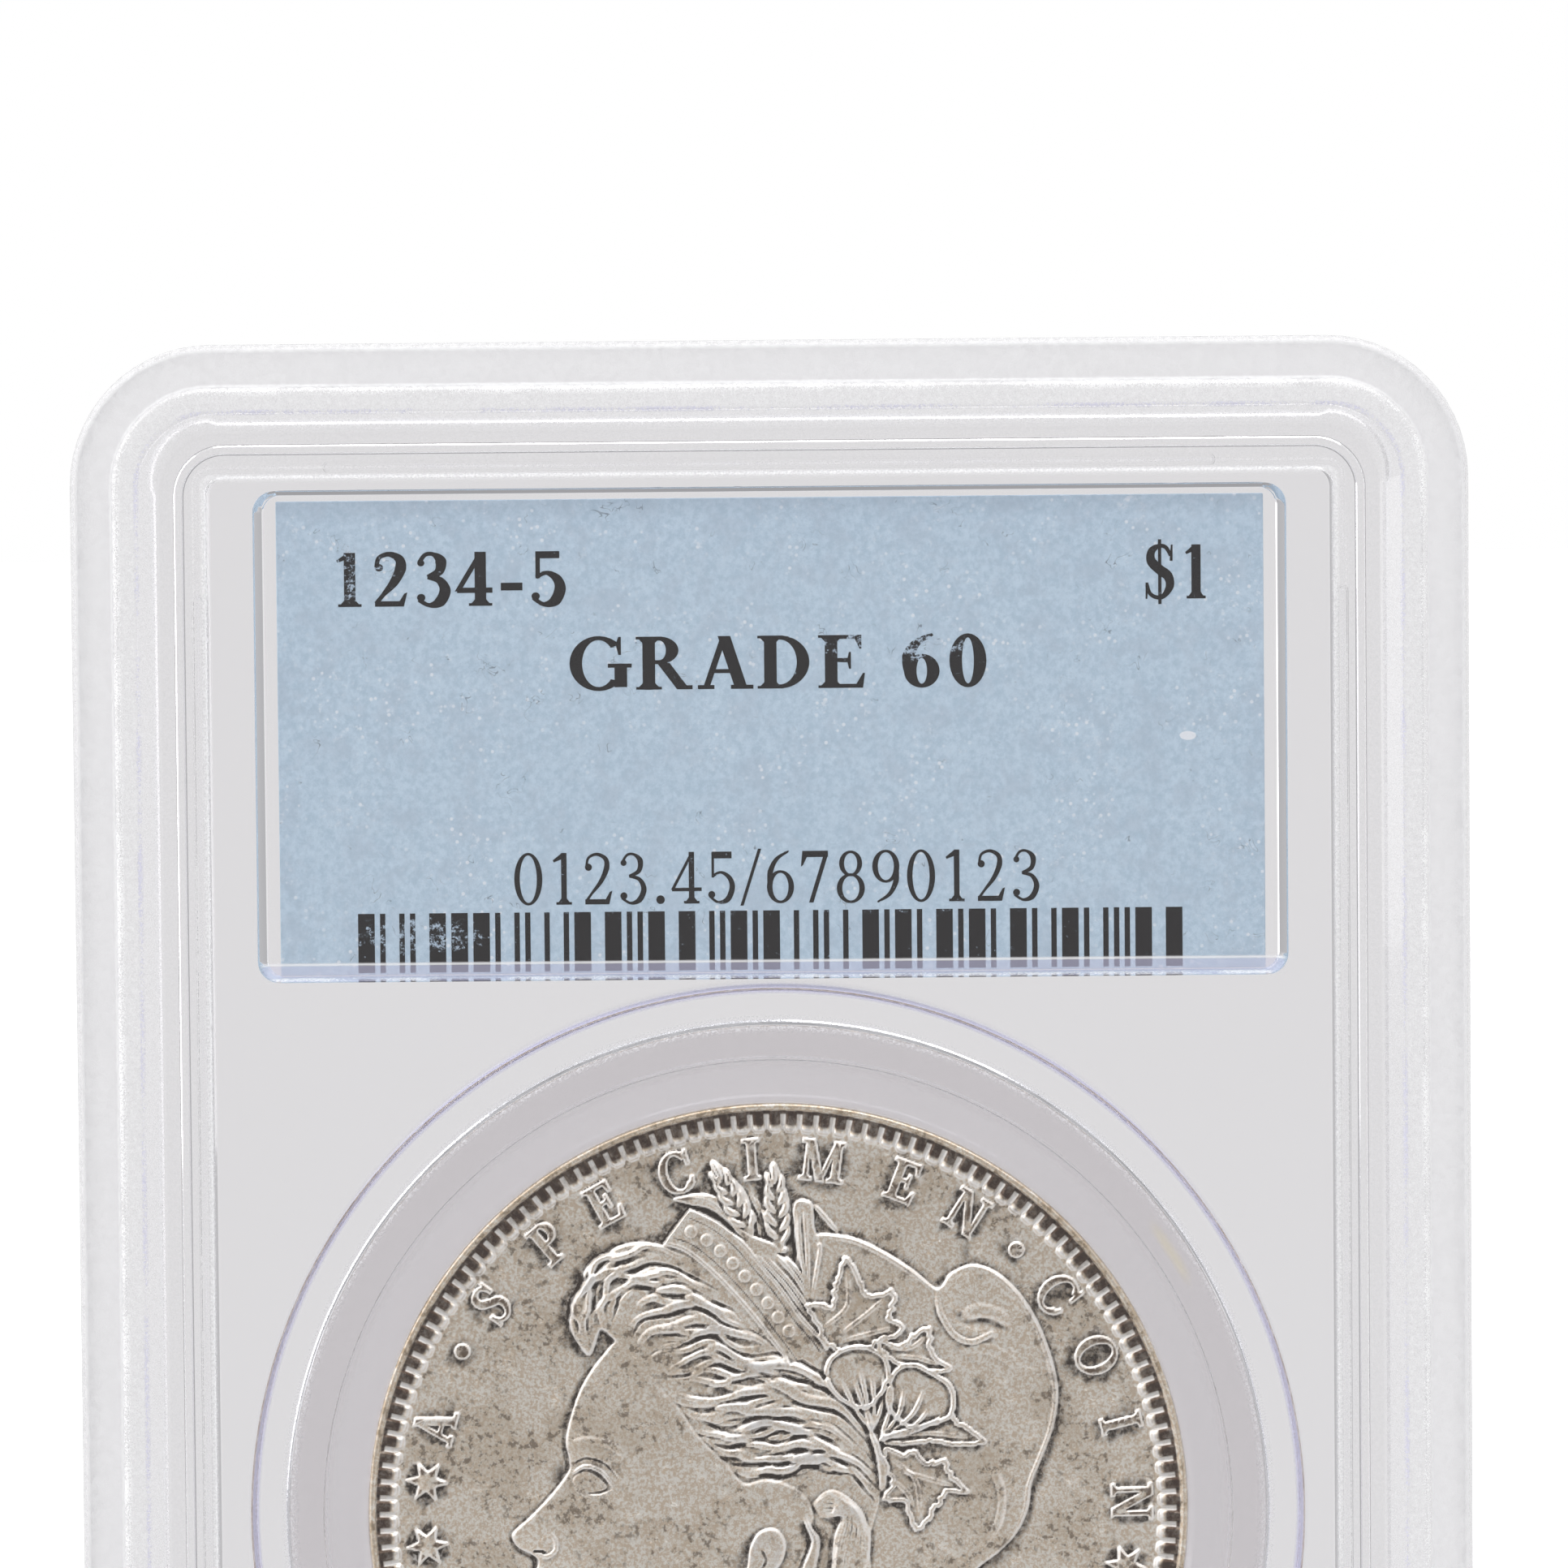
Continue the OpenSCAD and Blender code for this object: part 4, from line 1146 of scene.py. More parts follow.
def carve_hair(r, rng):
    """Waved hair: locks run between neighbouring guides from the brow and temple back to the knot."""
    mass = [(-8.7, 7.4), (-9.3, 8.0), (-9.62, 8.8), (-9.5, 9.6), (-9.1, 10.4), (-8.95, 11.2),
            (-8.55, 11.75), (-7.9, 12.1), (-7.2, 12.45), (-6.2, 12.62), (-5.3, 12.5), (-3.6, 13.2),
            (-1.0, 12.6), (1.5, 11.0), (4.0, 8.0), (5.0, 4.0), (5.0, 1.6), (4.5, 0.2), (4.1, -1.4),
            (4.2, -3.2), (4.5, -5.0), (3.9, -6.6), (2.6, -7.7), (1.1, -7.6), (0.4, -6.2), (0.5, -4.4),
            (1.0, -2.6), (1.5, -1.2), (1.5, 0.2), (0.7, 1.1), (-0.6, 1.45), (-1.6, 1.3), (-2.4, 2.2),
            (-3.2, 3.0), (-4.0, 3.9), (-4.55, 4.8), (-5.3, 5.6), (-6.0, 6.5), (-6.9, 7.3), (-7.7, 8.2),
            (-8.2, 8.5)]
    r.layer(spline(mass, closed=True), 0.46, edge=0.24, dome=0.3, width=2.5)
    guides = [
        [(-9.0, 8.0), (-9.35, 9.2), (-8.9, 10.8), (-7.6, 12.0), (-5.6, 12.35), (-3.6, 11.6)],
        [(-8.5, 8.2), (-8.7, 9.4), (-8.0, 10.9), (-6.3, 11.4), (-4.4, 11.2), (-2.6, 10.2)],
        [(-7.7, 8.5), (-7.3, 9.8), (-6.0, 10.6), (-4.2, 10.4), (-2.4, 9.6), (-0.9, 8.3)],
        [(-7.0, 7.7), (-6.0, 8.8), (-4.4, 9.3), (-2.6, 9.0), (-0.8, 8.0), (0.8, 7.2)],
        [(-6.2, 7.0), (-4.8, 7.6), (-3.0, 7.9), (-1.0, 7.2), (1.4, 6.9), (3.6, 5.4)],
        [(-5.6, 6.2), (-4.0, 6.4), (-2.2, 6.6), (0.2, 6.1), (2.4, 5.6), (4.2, 3.6)],
        [(-4.9, 5.4), (-3.3, 4.9), (-1.4, 5.2), (0.8, 5.1), (2.9, 4.3), (4.5, 2.8)],
        [(-4.2, 4.4), (-2.8, 3.9), (-0.9, 4.1), (1.2, 4.2), (3.1, 3.5), (4.6, 2.1)],
        [(-3.5, 3.4), (-2.2, 3.0), (-0.4, 3.2), (1.5, 3.4), (3.3, 2.7), (4.7, 1.5)],
        [(-2.5, 2.4), (-1.2, 2.0), (0.4, 2.3), (2.0, 2.7), (3.5, 2.0), (4.7, 0.9)],
        [(-1.6, 1.6), (-0.3, 1.6), (1.2, 1.9), (2.6, 1.9), (3.8, 1.2), (4.6, 0.2)]]
    for k, (a, b) in enumerate(zip(guides, guides[1:])):
        for i in range(4):
            t = (i + rng.uniform(-0.2, 0.2)) / 4
            lock = swing(between(a, b, t), rng.uniform(0.10, 0.24), rng.uniform(2.6, 4.2),
                         rng.uniform(0, 6.3))
            first, last = int(rng.uniform(0, 0.3) * len(lock)), int(rng.uniform(0.62, 1.0) * len(lock))
            r.stroke(lock[first:last], rng.uniform(0.34, 0.62), rng.uniform(0.1, 0.2), (0.25, 0.3),
                     smooth=False)
        parting = swing(between(a, b, 0.9), 0.16, 3.2, 2.0 * k)
        r.stroke(parting[len(parting) // 10:], 0.34, -0.14, smooth=False)
    for t in np.linspace(0, 1, 6):
        curl = [(1.7 + 0.3 * t, 0.3 - 0.5 * t), (2.6, 0.75 - 0.9 * t), (3.7 - 0.8 * t, 0.1 - 0.6 * t),
                (3.95 - 1.1 * t, -1.6), (3.9 - 1.5 * t, -3.4), (4.1 - 1.9 * t, -5.0),
                (3.2 - 1.6 * t, -6.9 + 0.4 * t)]
        r.stroke(swing(curl, 0.14, 2.6, 3 * t), 0.45, 0.16, smooth=False)
        r.stroke([(1.2 + 0.15 * t, -0.2 - 0.6 * t), (1.55 + 0.3 * t, -1.4), (1.1 + 0.5 * t, -2.8),
                  (0.75 + 0.5 * t, -4.4), (1.0 + 0.4 * t, -6.3)], 0.3, 0.1)


def carve_band(r):
    """Headband with raised edges and a row of beads."""
    upper = [(-3.98, 14.15), (-2.7, 13.5), (-1.6, 12.6), (-0.7, 11.5), (0.2, 10.4), (1.1, 9.1), (1.9, 8.2),
             (2.4, 7.5)]
    lower = [(-5.2, 12.55), (-4.3, 12.3), (-3.4, 11.65), (-2.35, 10.65), (-1.2, 9.35), (-0.4, 8.3),
             (0.25, 7.4), (0.6, 6.9)]
    r.layer(np.concatenate([spline(upper), spline(lower)[::-1]]), 0.6, edge=0.14, dome=0.05, width=0.5)
    for line, width, height in ((upper, 0.2, 0.12), (lower, 0.2, 0.12), ([upper[0], lower[0]], 0.2, 0.12),
                                (between(upper, lower, 0.2), 0.12, -0.06),
                                (between(upper, lower, 0.8), 0.12, -0.06)):
        r.stroke(line, width, height, (0.01, 0.01))
    middle = spline(between(upper, lower, 0.5))
    length = np.concatenate([[0], np.cumsum(np.hypot(*np.diff(middle, axis=0).T))])
    for s in np.arange(0.7, length[-1] - 1.4, 0.82):
        r.figure([disc(np.interp(s, length, middle[:, 0]), np.interp(s, length, middle[:, 1]), 0.22)], 0.06)


def carve_wheat(r):
    """Two ears of wheat, a leaf and some blades tucked behind the band."""
    leaf = [(-4.7, 14.62), (-3.9, 14.85), (-3.0, 14.8), (-2.3, 14.45), (-1.8, 13.6), (-1.3, 13.0),
            (-0.4, 12.65), (0.5, 12.3), (0.3, 12.05), (-0.7, 12.3), (-1.7, 12.9), (-2.3, 13.6),
            (-3.1, 14.15), (-4.0, 14.35)]
    r.layer(spline(leaf, closed=True), 0.44, edge=0.14, dome=0.1, width=0.3)
    r.stroke([(-4.5, 14.6), (-3.2, 14.55), (-2.1, 13.7), (-1.2, 12.85), (0.3, 12.2)], 0.18, 0.07)
    for foot, tip in (((-1.1, 12.9), (-2.95, 16.4)), ((0.2, 12.2), (-0.1, 16.3))):
        foot, tip = np.array(foot), np.array(tip)
        length = np.linalg.norm(tip - foot)
        along = (tip - foot) / length
        side = np.array([-along[1], along[0]])
        body = [foot - side * 0.1, foot + along * 1.2 - side * 0.62, foot + along * 2.4 - side * 0.6, tip,
                foot + along * 2.4 + side * 0.6, foot + along * 1.2 + side * 0.62, foot + side * 0.1]
        r.layer(spline(body, closed=True), 0.3, edge=0.16, dome=0.05, width=0.4)
        for i in range(5):
            for way in (-1, 1):
                start = foot + along * (0.45 + i * (length - 1.1) / 5 + 0.12 * way) + side * way * 0.12
                end = start + along * 0.72 + side * way * (0.42 - 0.05 * i)
                r.stroke([start, (start + end) / 2 + side * way * 0.1, end], 0.36, 0.2, (0.3, 0.35))
        r.stroke([tip - along, tip - along * 0.5, tip - along * 0.1], 0.3, 0.2, (0.2, 0.5))
    for a, b in (((-0.9, 12.0), (1.5, 9.0)), ((-0.5, 11.9), (1.6, 9.3)), ((0.0, 12.0), (1.7, 9.6)),
                 ((0.4, 12.0), (1.75, 9.8)),
                 ((-1.2, 14.9), (-0.5, 12.7)), ((-0.9, 14.6), (-0.3, 12.6)), ((-1.15, 14.0), (-0.7, 12.8))):
        r.stroke([a, ((a[0] + b[0]) / 2 + 0.08, (a[1] + b[1]) / 2 + 0.1), b], 0.22, 0.13)
    blade = [(0.85, 14.35), (1.65, 14.38), (1.8, 13.2), (2.15, 12.2), (2.15, 11.0), (1.75, 9.8),
             (1.45, 9.9), (1.2, 11.2), (0.9, 12.6)]
    r.layer(spline(blade, closed=True), 0.5, edge=0.14, dome=0.06, width=0.3)
    for x, top in ((1.05, 14.1), (1.35, 14.2), (1.95, 12.4)):
        r.stroke([(x, top), (x + 0.1, 12.2), (1.5 + 0.2 * (x - 1.2), 10.0)], 0.2, 0.12)
    r.stroke([(1.75, 14.3), (2.3, 13.7), (2.9, 12.95)], 0.24, 0.16)


def carve_cotton(r, rng):
    """Lobed leaves with veins, and two open bolls."""
    leaves = [
        [(1.4, 9.6), (2.1, 9.65), (2.6, 9.5), (2.72, 10.4), (2.95, 11.2), (3.2, 11.72), (3.62, 11.4),
         (3.9, 10.7), (4.2, 10.12), (4.9, 10.08), (5.45, 10.3), (5.35, 9.4), (5.25, 8.95), (5.8, 8.65),
         (5.5, 8.2), (4.9, 8.0), (4.1, 7.6), (3.1, 7.5), (2.3, 7.9), (1.9, 8.8)],
        [(4.75, 7.95), (5.5, 7.7), (6.0, 7.8), (6.4, 8.2), (7.1, 8.5), (7.12, 7.6), (7.4, 7.05),
         (8.05, 6.6), (7.1, 6.5), (5.9, 6.8), (5.0, 7.3)],
        [(4.9, 3.2), (5.4, 3.65), (6.3, 3.75), (7.3, 4.05), (8.0, 4.4), (8.5, 4.0), (9.0, 3.7), (9.6, 3.2),
         (8.8, 3.08), (8.0, 3.1), (7.2, 3.25), (6.4, 3.15), (5.6, 3.1)],
        [(5.0, 2.9), (5.8, 2.6), (6.3, 2.8), (7.0, 2.2), (7.8, 2.35), (8.0, 1.7), (8.75, 0.85), (7.9, 0.9),
         (7.5, 0.4), (7.1, -0.2), (6.85, -0.5), (6.4, -0.9), (6.1, -0.1), (5.8, 0.4), (5.0, 0.55),
         (5.3, 1.3), (5.05, 2.0)]]
    for leaf in leaves:
        edge = spline(leaf, closed=True)
        out = edge - edge.mean(axis=0)
        out /= np.linalg.norm(out, axis=1)[:, None]
        edge = edge + out * (rng.uniform(-0.12, 0.1, len(edge)))[:, None]
        r.layer(edge, 0.66, edge=0.14, dome=0.08, width=0.4)
        r.cord(edge, 0.24, 0.16)
    for vein in (((2.2, 8.6), (3.3, 9.6), (3.3, 11.2)), ((3.0, 8.3), (4.2, 9.2), (5.0, 9.9)),
                 ((3.2, 8.0), (4.4, 8.3), (5.3, 8.5)),
                 ((5.2, 7.6), (6.2, 7.6), (6.9, 8.1)), ((5.6, 7.2), (6.6, 7.1), (7.5, 6.8)),
                 ((5.4, 3.4), (7.0, 3.6), (8.8, 3.4)),
                 ((5.3, 2.4), (6.4, 1.4), (6.6, -0.3)), ((5.6, 1.9), (6.9, 1.5), (8.2, 1.1)),
                 ((5.4, 1.4), (6.0, 0.8), (6.3, 0.2))):
        r.stroke(vein, 0.24, 0.09)
    bolls = (([(2.3, 6.3), (2.5, 7.1), (3.3, 7.6), (4.2, 7.62), (4.95, 7.2), (5.2, 6.4), (4.9, 5.6),
               (4.3, 4.9), (3.6, 4.9),
               (2.75, 5.4)], (4.4, 3.7), ((3.0, 6.1), (3.6, 6.2), (3.85, 6.7), (4.4, 6.4), (4.95, 6.4))),
             ([(5.2, 5.9), (5.6, 6.6), (6.4, 6.8), (7.2, 6.4), (7.95, 5.9), (8.2, 5.2), (8.0, 4.4),
               (7.2, 4.1), (6.2, 3.9), (5.5, 4.4), (5.1, 5.0)], (4.75, 3.3),
              ((5.3, 6.2), (5.9, 5.7), (6.8, 5.6), (7.0, 4.7), (7.6, 4.4))))
    for outline, foot, tips in bolls:
        edge = spline(outline, closed=True)
        r.layer(edge, 0.7, edge=0.16, dome=0.2, width=0.6)
        r.cord(edge, 0.26, 0.2)
        for tip in tips:
            middle = ((foot[0] + 2 * tip[0]) / 3 + 0.12, (foot[1] + tip[1]) / 2)
            r.stroke([foot, middle, tip], 0.24, 0.15, (0.1, 0.3))
    for t in np.linspace(0, 1, 6):
        r.stroke([(4.2 + 0.5 * t, 4.0 - 0.5 * t), (4.5 + 0.3 * t, 3.0 - 0.3 * t), (4.7 + 0.35 * t, 2.0),
                  (4.8 + 0.2 * t, 0.9)], 0.22, 0.12)


def front_relief(pitch):
    """The head with its cap and plants, the legend and thirteen stars."""
    r = Relief(FIELD_R + 0.1, pitch)
    rng = np.random.default_rng(7)
    carve_face(r)
    carve_cap(r)
    carve_hair(r, rng)
    carve_cotton(r, rng)
    carve_wheat(r)
    carve_band(r)
    angles = (-75.5, -62.6, -53.4, -39.8, -28.7, -16.3, -3.8, 7.7, 21.4, 32.8, 42.7, 52.5, 64.3, 76, 89)
    r.legend("A.SPECIMEN.COIN", angles, LEGEND_FOOT, LEGEND_H, 0.1)
    for i in range(7):
        r.star(-84.7 - 10.5 * i, STARS_R)
    for i in range(6):
        r.star(99.5 + 10.5 * i, STARS_R)
    return r


def back_relief(pitch):
    """A plain laurel wreath tied with a bow, a large numeral and a ring of stars."""
    r = Relief(FIELD_R + 0.1, pitch)
    for way in (-1, 1):
        turns = np.radians(np.linspace(188, 335, 15))
        branch = [(way * WREATH_R * math.sin(a), WREATH_R * math.cos(a)) for a in turns]
        r.stroke(branch, 0.5, 0.2, (0.1, 0.2))
        for i in range(len(turns) - 1):
            for out in (-1, 1):
                a = turns[i] + 0.03 * out
                tip_a, reach = a + 0.2, WREATH_R + out * LEAF_REACH
                start = np.array((way * WREATH_R * math.sin(a), WREATH_R * math.cos(a)))
                tip = np.array((way * reach * math.sin(tip_a), reach * math.cos(tip_a)))
                side = np.array((-(tip - start)[1], (tip - start)[0])) * 0.2
                leaf = (start, (start + tip) / 2 + side, tip, (start + tip) / 2 - side)
                r.layer(spline(leaf, closed=True), 0.4, edge=0.16, dome=0.3, width=0.3)
                r.stroke([start, (start + tip) / 2, tip], 0.2, -0.1)
            if i % 3 == 1:
                r.figure([disc(way * BERRY_R * math.sin(turns[i]), BERRY_R * math.cos(turns[i]), 0.3)], 0.12)
        r.stroke([(0, -11.0), (way * 1.4, -10.1), (way * 2.3, -11.0), (way * 1.2, -11.6), (0, -11.1)], 0.5,
                 0.3, (0.05, 0.05))
        r.stroke([(0, -11.2), (way * 1.0, -12.4), (way * 1.9, -13.3)], 0.5, 0.26)
    parts, wide = serif_figure("1", 0.2, 0.07)
    r.figure([[((x - wide / 2) * 10, (y - 0.5) * 10) for x, y in part] for part in parts], 0.16, 0.16)
    for i in range(24):
        r.star(15 * i, STARS_R - 0.3, 0.6)
    return r


# ---------------------------------------------------------------- the coin's mesh

FIELD_R = COIN_R - 1.5
FIELD_UP = COIN_HALF - 0.36
DENTICLES = 150
TOOTH_H = 0.2
TOOTH_HALF = 0.46
TOOTH_BEND = 6.0
ROUND_STEPS = DENTICLES * 8
REEDS = 200
REED_DEEP = 0.045


def disc_grid(relief):
    """Points and triangles of a relief's grid inside the field, and its rim points in order of angle."""
    inside = np.hypot(relief.x, relief.y) < FIELD_R
    whole = inside[:-1, :-1] & inside[1:, :-1] & inside[:-1, 1:] & inside[1:, 1:]
    uses = np.zeros(inside.shape, int)
    for dj, di in ((0, 0), (0, 1), (1, 0), (1, 1)):
        uses[dj:dj + whole.shape[0], di:di + whole.shape[1]] += whole
    number = np.cumsum(uses.ravel() > 0).reshape(uses.shape) - 1
    a, b = number[:-1, :-1][whole], number[:-1, 1:][whole]
    c, d = number[1:, 1:][whole], number[1:, :-1][whole]
    triangles = np.concatenate([np.stack([a, b, c], 1), np.stack([a, c, d], 1)])
    used = uses > 0
    height = np.clip(relief.h, 0, COIN_HALF - FIELD_UP - 0.01)
    height = height + 0.04 * (np.hypot(relief.x, relief.y) / FIELD_R) ** 3
    points = np.stack([relief.x[used], relief.y[used], FIELD_UP + height[used]], 1)
    rim = number[(uses > 0) & (uses < 4)]
    rim = rim[np.argsort(np.arctan2(points[rim, 1], points[rim, 0]))]
    return points, triangles, rim


def denticle_height(radius, turn):
    """Height of the toothed border: round-ended teeth that run in from the rim and narrow towards it."""
    share = (turn * DENTICLES / (2 * math.pi)) % 1.0 - 0.5
    half = TOOTH_HALF - 0.10 * (radius - FIELD_R)
    tooth = np.clip((half - np.abs(share)) / 0.12, 0, 1)
    start = FIELD_R + 0.1 + TOOTH_BEND * share ** 4
    risen = np.clip((radius - start) / 0.16, 0, 1)
    tooth = tooth * tooth * (3 - 2 * tooth)
    return TOOTH_H * tooth * risen * risen * (3 - 2 * risen)


def rim_rings():
    """Rings of the toothed border, the rim and half of the reeded edge, from the field outwards."""
    turn = -math.pi + 2 * math.pi * np.arange(ROUND_STEPS) / ROUND_STEPS
    wear = 0.012 * np.sin(turn * 5 + 1.0) + 0.01 * np.sin(turn * 11)
    reed = REED_DEEP * (0.5 + 0.5 * np.cos(turn * REEDS))
    rings = []
    for radius in (0.05, 0.12, 0.19, 0.26, 0.33, 0.42, 0.54, 0.74, 0.98, 1.15):
        r = np.full(ROUND_STEPS, FIELD_R + radius)
        rings.append((r, FIELD_UP + 0.04 + denticle_height(r, turn)))
    for radius, drop in ((1.2, 0.1), (1.24, 0.03), (1.28, 0.0), (1.4, 0.0), (1.46, 0.03), (1.49, 0.09)):
        rings.append((FIELD_R + radius + (wear if radius < 1.3 else 0),
                      np.full(ROUND_STEPS, COIN_HALF - drop)))
    for up in (COIN_HALF - 0.16, 0.0):
        rings.append((COIN_R - reed, np.full(ROUND_STEPS, up)))
    return [np.stack([r * np.cos(turn), r * np.sin(turn), up], 1) for r, up in rings]


def stitch(a, b, angle_a, angle_b):
    """Triangles between two closed loops of points, both in order of angle."""
    faces = []
    i = j = 0
    while i < len(a) or j < len(b):
        next_a = angle_a[i + 1] if i + 1 < len(a) else angle_a[0] + 2 * math.pi
        next_b = angle_b[j + 1] if j + 1 < len(b) else angle_b[0] + 2 * math.pi
        if j >= len(b) or (i < len(a) and next_a <= next_b):
            faces.append((a[i % len(a)], b[j % len(b)], a[(i + 1) % len(a)]))
            i += 1
        else:
            faces.append((a[i % len(a)], b[j % len(b)], b[(j + 1) % len(b)]))
            j += 1
    return np.array(faces)


def coin_half(relief):
    """Points, triangles and the middle ring of one side of the coin, facing up."""
    points, triangles, rim = disc_grid(relief)
    rings = rim_rings()
    first = len(points) + ROUND_STEPS * np.arange(len(rings))
    step = np.arange(ROUND_STEPS)
    after = (step + 1) % ROUND_STEPS
    faces = [triangles]
    for low, high in zip(first, first[1:]):
        faces.append(np.stack([low + step, high + step, high + after], 1))
        faces.append(np.stack([low + step, high + after, low + after], 1))
    angle_rim = np.arctan2(points[rim, 1], points[rim, 0])
    angle_ring = np.arctan2(rings[0][:, 1], rings[0][:, 0])
    angle_ring[0] = -math.pi
    faces.append(stitch(rim, first[0] + step, angle_rim, angle_ring))
    return np.concatenate([points] + rings), np.concatenate(faces), first[-1] + step


def blurred(field, cells):
    """A grid averaged over a square of cells each way."""
    for axis in (0, 1):
        margins = [(cells, cells) if k == axis else (0, 0) for k in (0, 1)]
        total = np.cumsum(np.pad(field, margins, mode="edge"), axis=axis)
        high = np.take(total, range(2 * cells, total.shape[axis]), axis=axis)
        low = np.take(total, range(0, total.shape[axis] - 2 * cells), axis=axis)
        field = (high - low) / (2 * cells)
    return field


def make_coin(material):
    """One struck piece: relief fields, toothed borders, rims and a reeded edge, thinned where it is flat."""
    sides = []
    for build, pitch, way in ((front_relief, COIN_PITCH, -1), (back_relief, COIN_PITCH * 1.4, 1)):
        relief = build(pitch)
        points, faces, middle = coin_half(relief)
        nearest = ((points[:, :2] - relief.axis[0]) / pitch).round().astype(int)
        grid_x, grid_y = np.clip(nearest, 0, len(relief.axis) - 1).T
        sunk = blurred(relief.h, max(int(0.35 / pitch), 1)) - relief.h
        slope = np.hypot(*np.gradient(relief.h, pitch))
        radius = np.hypot(points[:, 0], points[:, 1])
        field = radius < FIELD_R + 0.03
        hollow = np.where(field, np.clip(sunk[grid_y, grid_x] / 0.1 + 0.5, 0, 1), 0.5)
        # Steep slopes, which the silver material paints as highlights.
        edge = np.where(field, np.clip(slope[grid_y, grid_x] / 0.6 - 0.25, 0, 1), 0.0)
        place = np.stack([-way * points[:, 0], way * points[:, 2], COIN_Z + points[:, 1]], 1) * MM
        sides.append((place, faces, middle, hollow, edge))
    front, back = sides
    offset = len(front[0])
    merged = np.arange(offset + len(back[0]))
    half = ROUND_STEPS // 2
    merged[offset + back[2]] = front[2][(half - np.arange(ROUND_STEPS)) % ROUND_STEPS]
    points = np.concatenate([front[0], back[0]])
    faces = merged[np.concatenate([front[1], back[1] + offset])]
    mesh = bpy.data.meshes.new("silver_coin")
    mesh.vertices.add(len(points))
    mesh.vertices.foreach_set("co", points.ravel())
    mesh.loops.add(faces.size)
    mesh.loops.foreach_set("vertex_index", faces.ravel())
    mesh.polygons.add(len(faces))
    mesh.polygons.foreach_set("loop_start", np.arange(0, faces.size, 3))
    for name, k in (("hollow", 3), ("edge", 4)):
        column = mesh.attributes.new(name, "FLOAT", "POINT")
        column.data.foreach_set("value", np.concatenate([front[k], back[k]]))
    mesh.update(calc_edges=True)
    bm = bmesh.new()
    bm.from_mesh(mesh)
    bmesh.ops.delete(bm, geom=[v for v in bm.verts if not v.link_faces], context="VERTS")
    bmesh.ops.recalc_face_normals(bm, faces=bm.faces)
    coin = make_object("silver_coin", bm, material, smooth_angle=math.pi, weighted=False)
    thin = coin.modifiers.new("thin out the flat parts", "DECIMATE")
    thin.ratio = COIN_FACES / len(faces)
    bpy.context.view_layer.update()
    final = bpy.data.meshes.new_from_object(coin.evaluated_get(bpy.context.evaluated_depsgraph_get()))
    coin.modifiers.clear()
    coin.data = final
    return coin


# ---------------------------------------------------------------- stage, light and camera

FLOOR_HALF = 4.0
SENSOR = 36.0
LENS = 172.7
AIM = (0.57, 0.0, 65.80)
DISTANCE = 350
ELEVATION = math.radians(2.83)
ROLL = math.radians(-0.51)


def tent_glow(tree, direction, axis=(0.0, 1.0, 0.0), along=TENT_FRONT, across=TENT_SIDES):
    """Brightness of the tent towards a direction: one value both ways along an axis, another across it."""
    ahead = tree.nodes.new("ShaderNodeVectorMath")
    ahead.operation = "DOT_PRODUCT"
    ahead.inputs[1].default_value = axis
    tree.links.new(direction, ahead.inputs[0])
    either = tree.nodes.new("ShaderNodeMath")
    either.operation = "ABSOLUTE"
    tree.links.new(ahead.outputs["Value"], either.inputs[0])
    fade = tree.nodes.new("ShaderNodeMapRange")
    fade.interpolation_type = "SMOOTHSTEP"
    tree.links.new(either.outputs[0], fade.inputs[0])
    for slot, value in ((1, TENT_CONE[0]), (2, TENT_CONE[1]), (3, along), (4, across)):
        fade.inputs[slot].default_value = value
    return fade.outputs[0]


def make_stage():
    """A pale floor, which the silver and the clear case mirror as the lower half of the tent."""
    g = Graph("pale_floor")
    g.surface(Base_Color=(0.93, 0.93, 0.935), Roughness=0.6, Emission_Color=(1.0, 1.0, 1.0),
              Emission_Strength=0.35)
    path = g.add("ShaderNodeLightPath")
    from_case = g.vector("SUBTRACT", g.point, (0.0, 0.0, CASE_MID_Z * MM))
    way = g.vector("NORMALIZE", from_case)
    mirrored = g.add("ShaderNodeEmission", {"Strength": tent_glow(g.tree, way)})
    seen = tent_glow(g.tree, way, SIDEWAYS, SEEN_SIDEWAYS, SEEN_THROUGH)
    through = g.add("ShaderNodeEmission", {"Strength": seen})
    kept = g.add("ShaderNodeMixShader", {0: path.outputs["Is Reflection Ray"], 1: g.bsdf.outputs[0],
                                         2: mirrored.outputs[0]})
    final = g.add("ShaderNodeMixShader", {0: path.outputs["Is Transmission Ray"], 1: kept.outputs[0],
                                          2: through.outputs[0]})
    g.put(g.out.inputs["Surface"], final.outputs[0])
    bm = bmesh.new()
    for x, y in bar(-FLOOR_HALF, -FLOOR_HALF, FLOOR_HALF, FLOOR_HALF):
        bm.verts.new((x, y, 0.0))
    bm.faces.new(bm.verts)
    floor = make_object("floor", bm, g.material, weighted=False)


def make_world():
    """The light tent, white behind the object and grey as seen through the case."""
    world = bpy.data.worlds.new("tent")
    bpy.context.scene.world = world
    world.use_nodes = True
    tree = world.node_tree
    background = tree.nodes["Background"]
    way = tree.nodes.new("ShaderNodeTexCoord").outputs["Generated"]
    path = tree.nodes.new("ShaderNodeLightPath")
    white = tree.nodes.new("ShaderNodeValue")
    white.outputs[0].default_value = 1.0
    strength = tent_glow(tree, way)
    seen = tent_glow(tree, way, SIDEWAYS, SEEN_SIDEWAYS, SEEN_THROUGH)
    for ray, value in (("Is Transmission Ray", seen), ("Is Camera Ray", white.outputs[0])):
        choose = tree.nodes.new("ShaderNodeMix")
        tree.links.new(path.outputs[ray], choose.inputs[0])
        tree.links.new(strength, choose.inputs[2])
        tree.links.new(value, choose.inputs[3])
        strength = choose.outputs[0]
    tree.links.new(strength, background.inputs["Strength"])
    background.inputs["Color"].default_value = (1.0, 1.0, 1.0, 1.0)


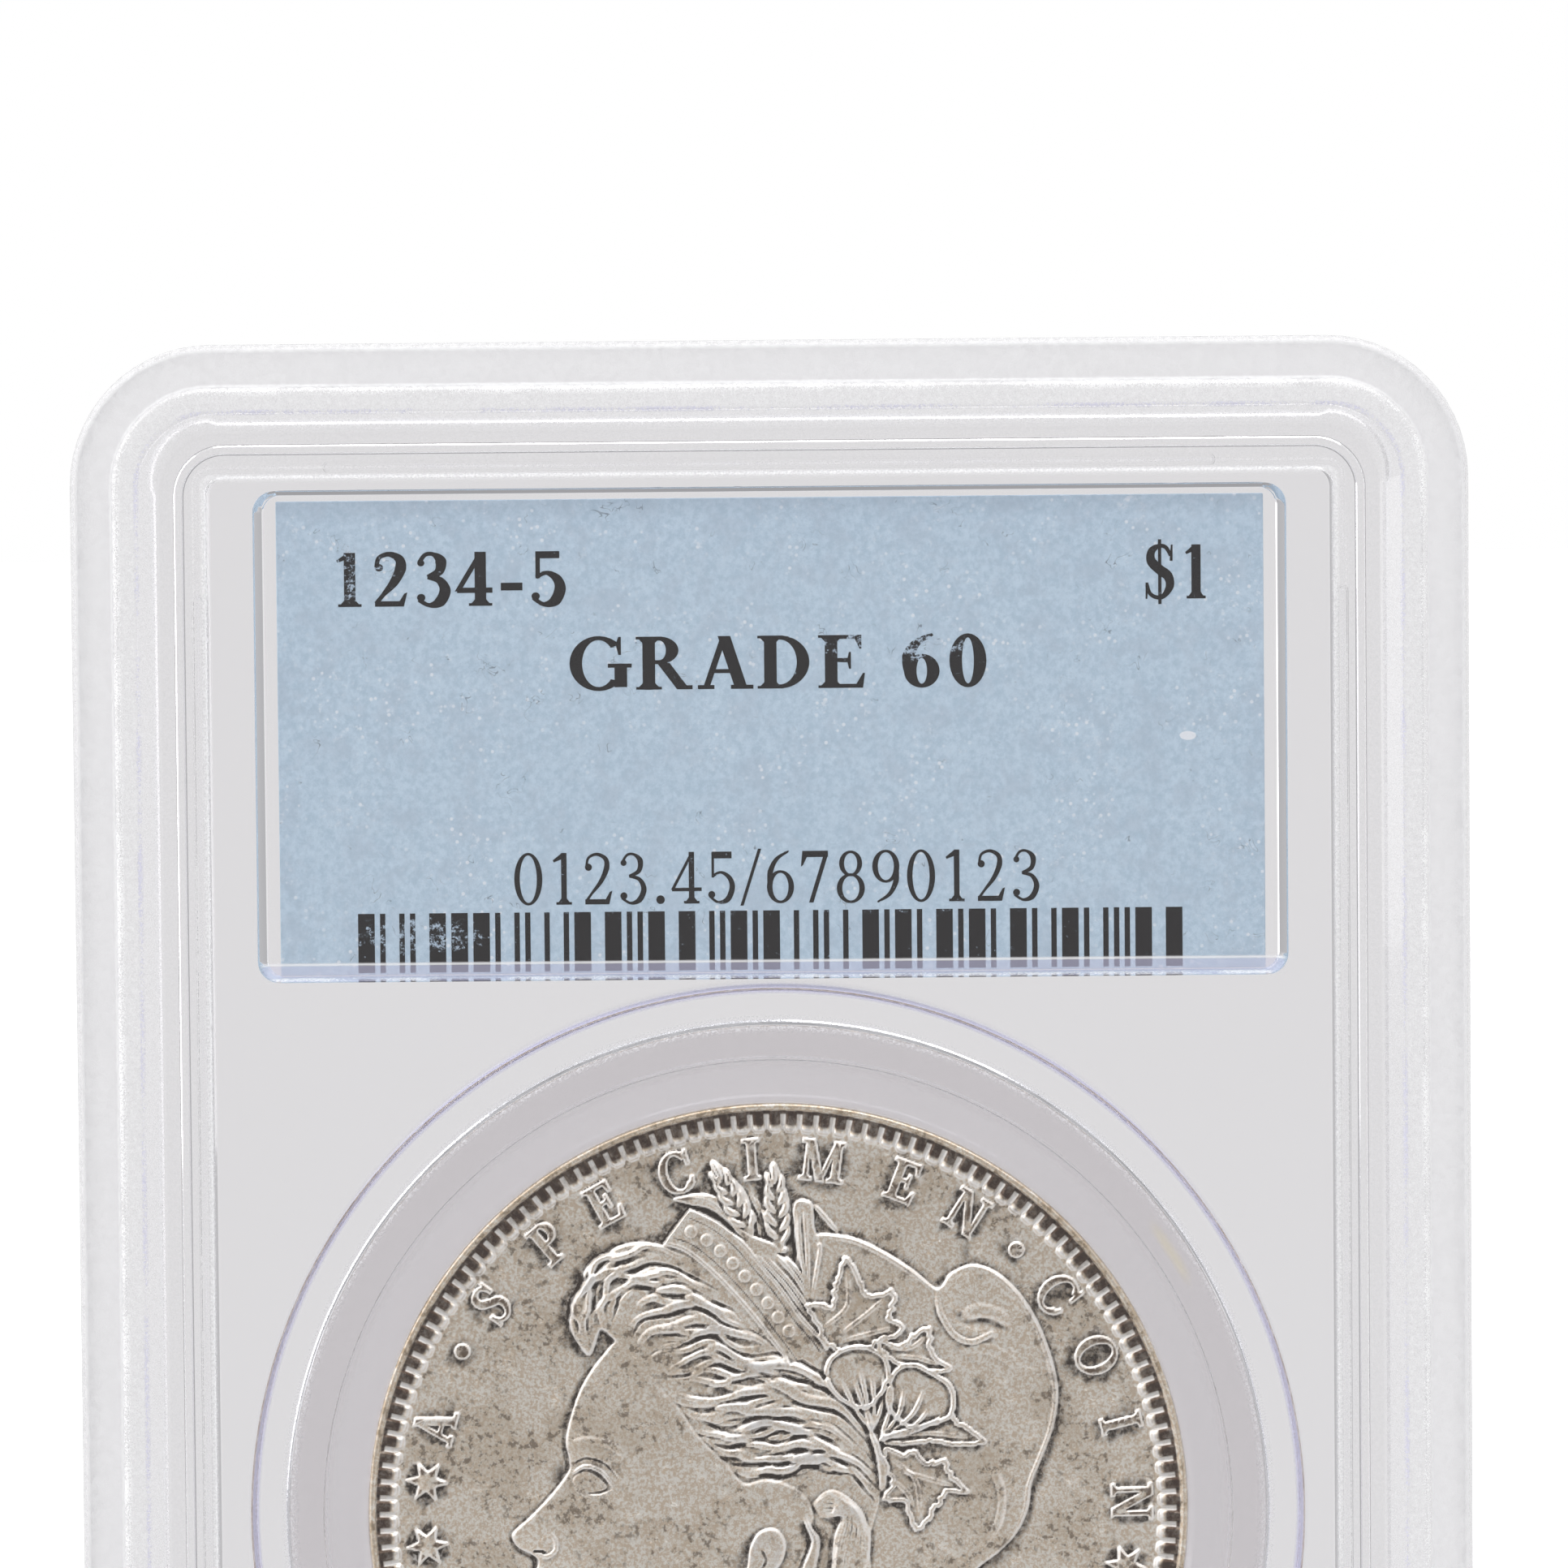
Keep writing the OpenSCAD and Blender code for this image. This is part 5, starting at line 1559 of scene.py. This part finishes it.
def add_softbox(name, place, size, power):
    """A rectangular lamp that faces the middle of the case and is not seen through it."""
    light = bpy.data.lights.new(name, "AREA")
    light.shape = "RECTANGLE"
    light.size, light.size_y = size
    light.energy = power
    obj = bpy.data.objects.new(name, light)
    obj.location = place
    aim = Vector((0.0, 0.0, CASE_MID_Z * MM)) - Vector(place)
    obj.rotation_euler = aim.to_track_quat("-Z", "Y").to_euler()
    obj.visible_transmission = False
    bpy.context.scene.collection.objects.link(obj)


def make_camera():
    """Straight on, a little from above, rolled as the slab leans in the picture."""
    data = bpy.data.cameras.new("camera")
    data.sensor_width = SENSOR
    data.lens = LENS
    camera = bpy.data.objects.new("camera", data)
    back = Vector((0.0, -math.cos(ELEVATION), math.sin(ELEVATION)))
    camera.location = (Vector(AIM) + back * DISTANCE) * MM
    turn = back.to_track_quat("Z", "Y").to_matrix()
    camera.rotation_euler = (turn @ Matrix.Rotation(ROLL, 3, "Z")).to_euler()
    bpy.context.scene.collection.objects.link(camera)
    bpy.context.scene.camera = camera


def main():
    """Stage, light and camera, then the pieces, each on its body."""
    scene = bpy.context.scene
    scene.view_settings.view_transform = "Standard"
    make_camera()
    make_world()
    make_stage()
    add_softbox("left_softbox", (-0.60, -0.25, 0.32), (0.8, 0.8), 2.6)
    add_softbox("top_softbox", (0.10, -0.25, 0.65), (0.7, 0.5), 2.6)

    front = make_shell("clear_front_shell", True, shell_material("clear_front", True))
    back = make_shell("clear_back_shell", False, shell_material("clear_back", False))
    ring = make_gasket(ring_material())
    label = make_label(paper_material())
    seal = make_seal(foil_material())
    coin = make_coin(coin_material())

    ink = ink_material()
    for obj in (make_print(ink), make_barcode(ink)):
        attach(obj, "case")
    for obj, body, node, slot in (
        (front, "case", "front_shell", "clear_front"),
        (back, "case", "back_shell", "clear_back"),
        (label, "case", "label_insert", "label_paper"),
        (seal, "case", "hologram_seal", "seal_foil"),
        (ring, "coin_carrier", "coin_gasket", "soft_ring"),
        (coin, "coin_carrier", "coin", "coin_silver"),
    ):
        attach(obj, body)
        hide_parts(node)


main()
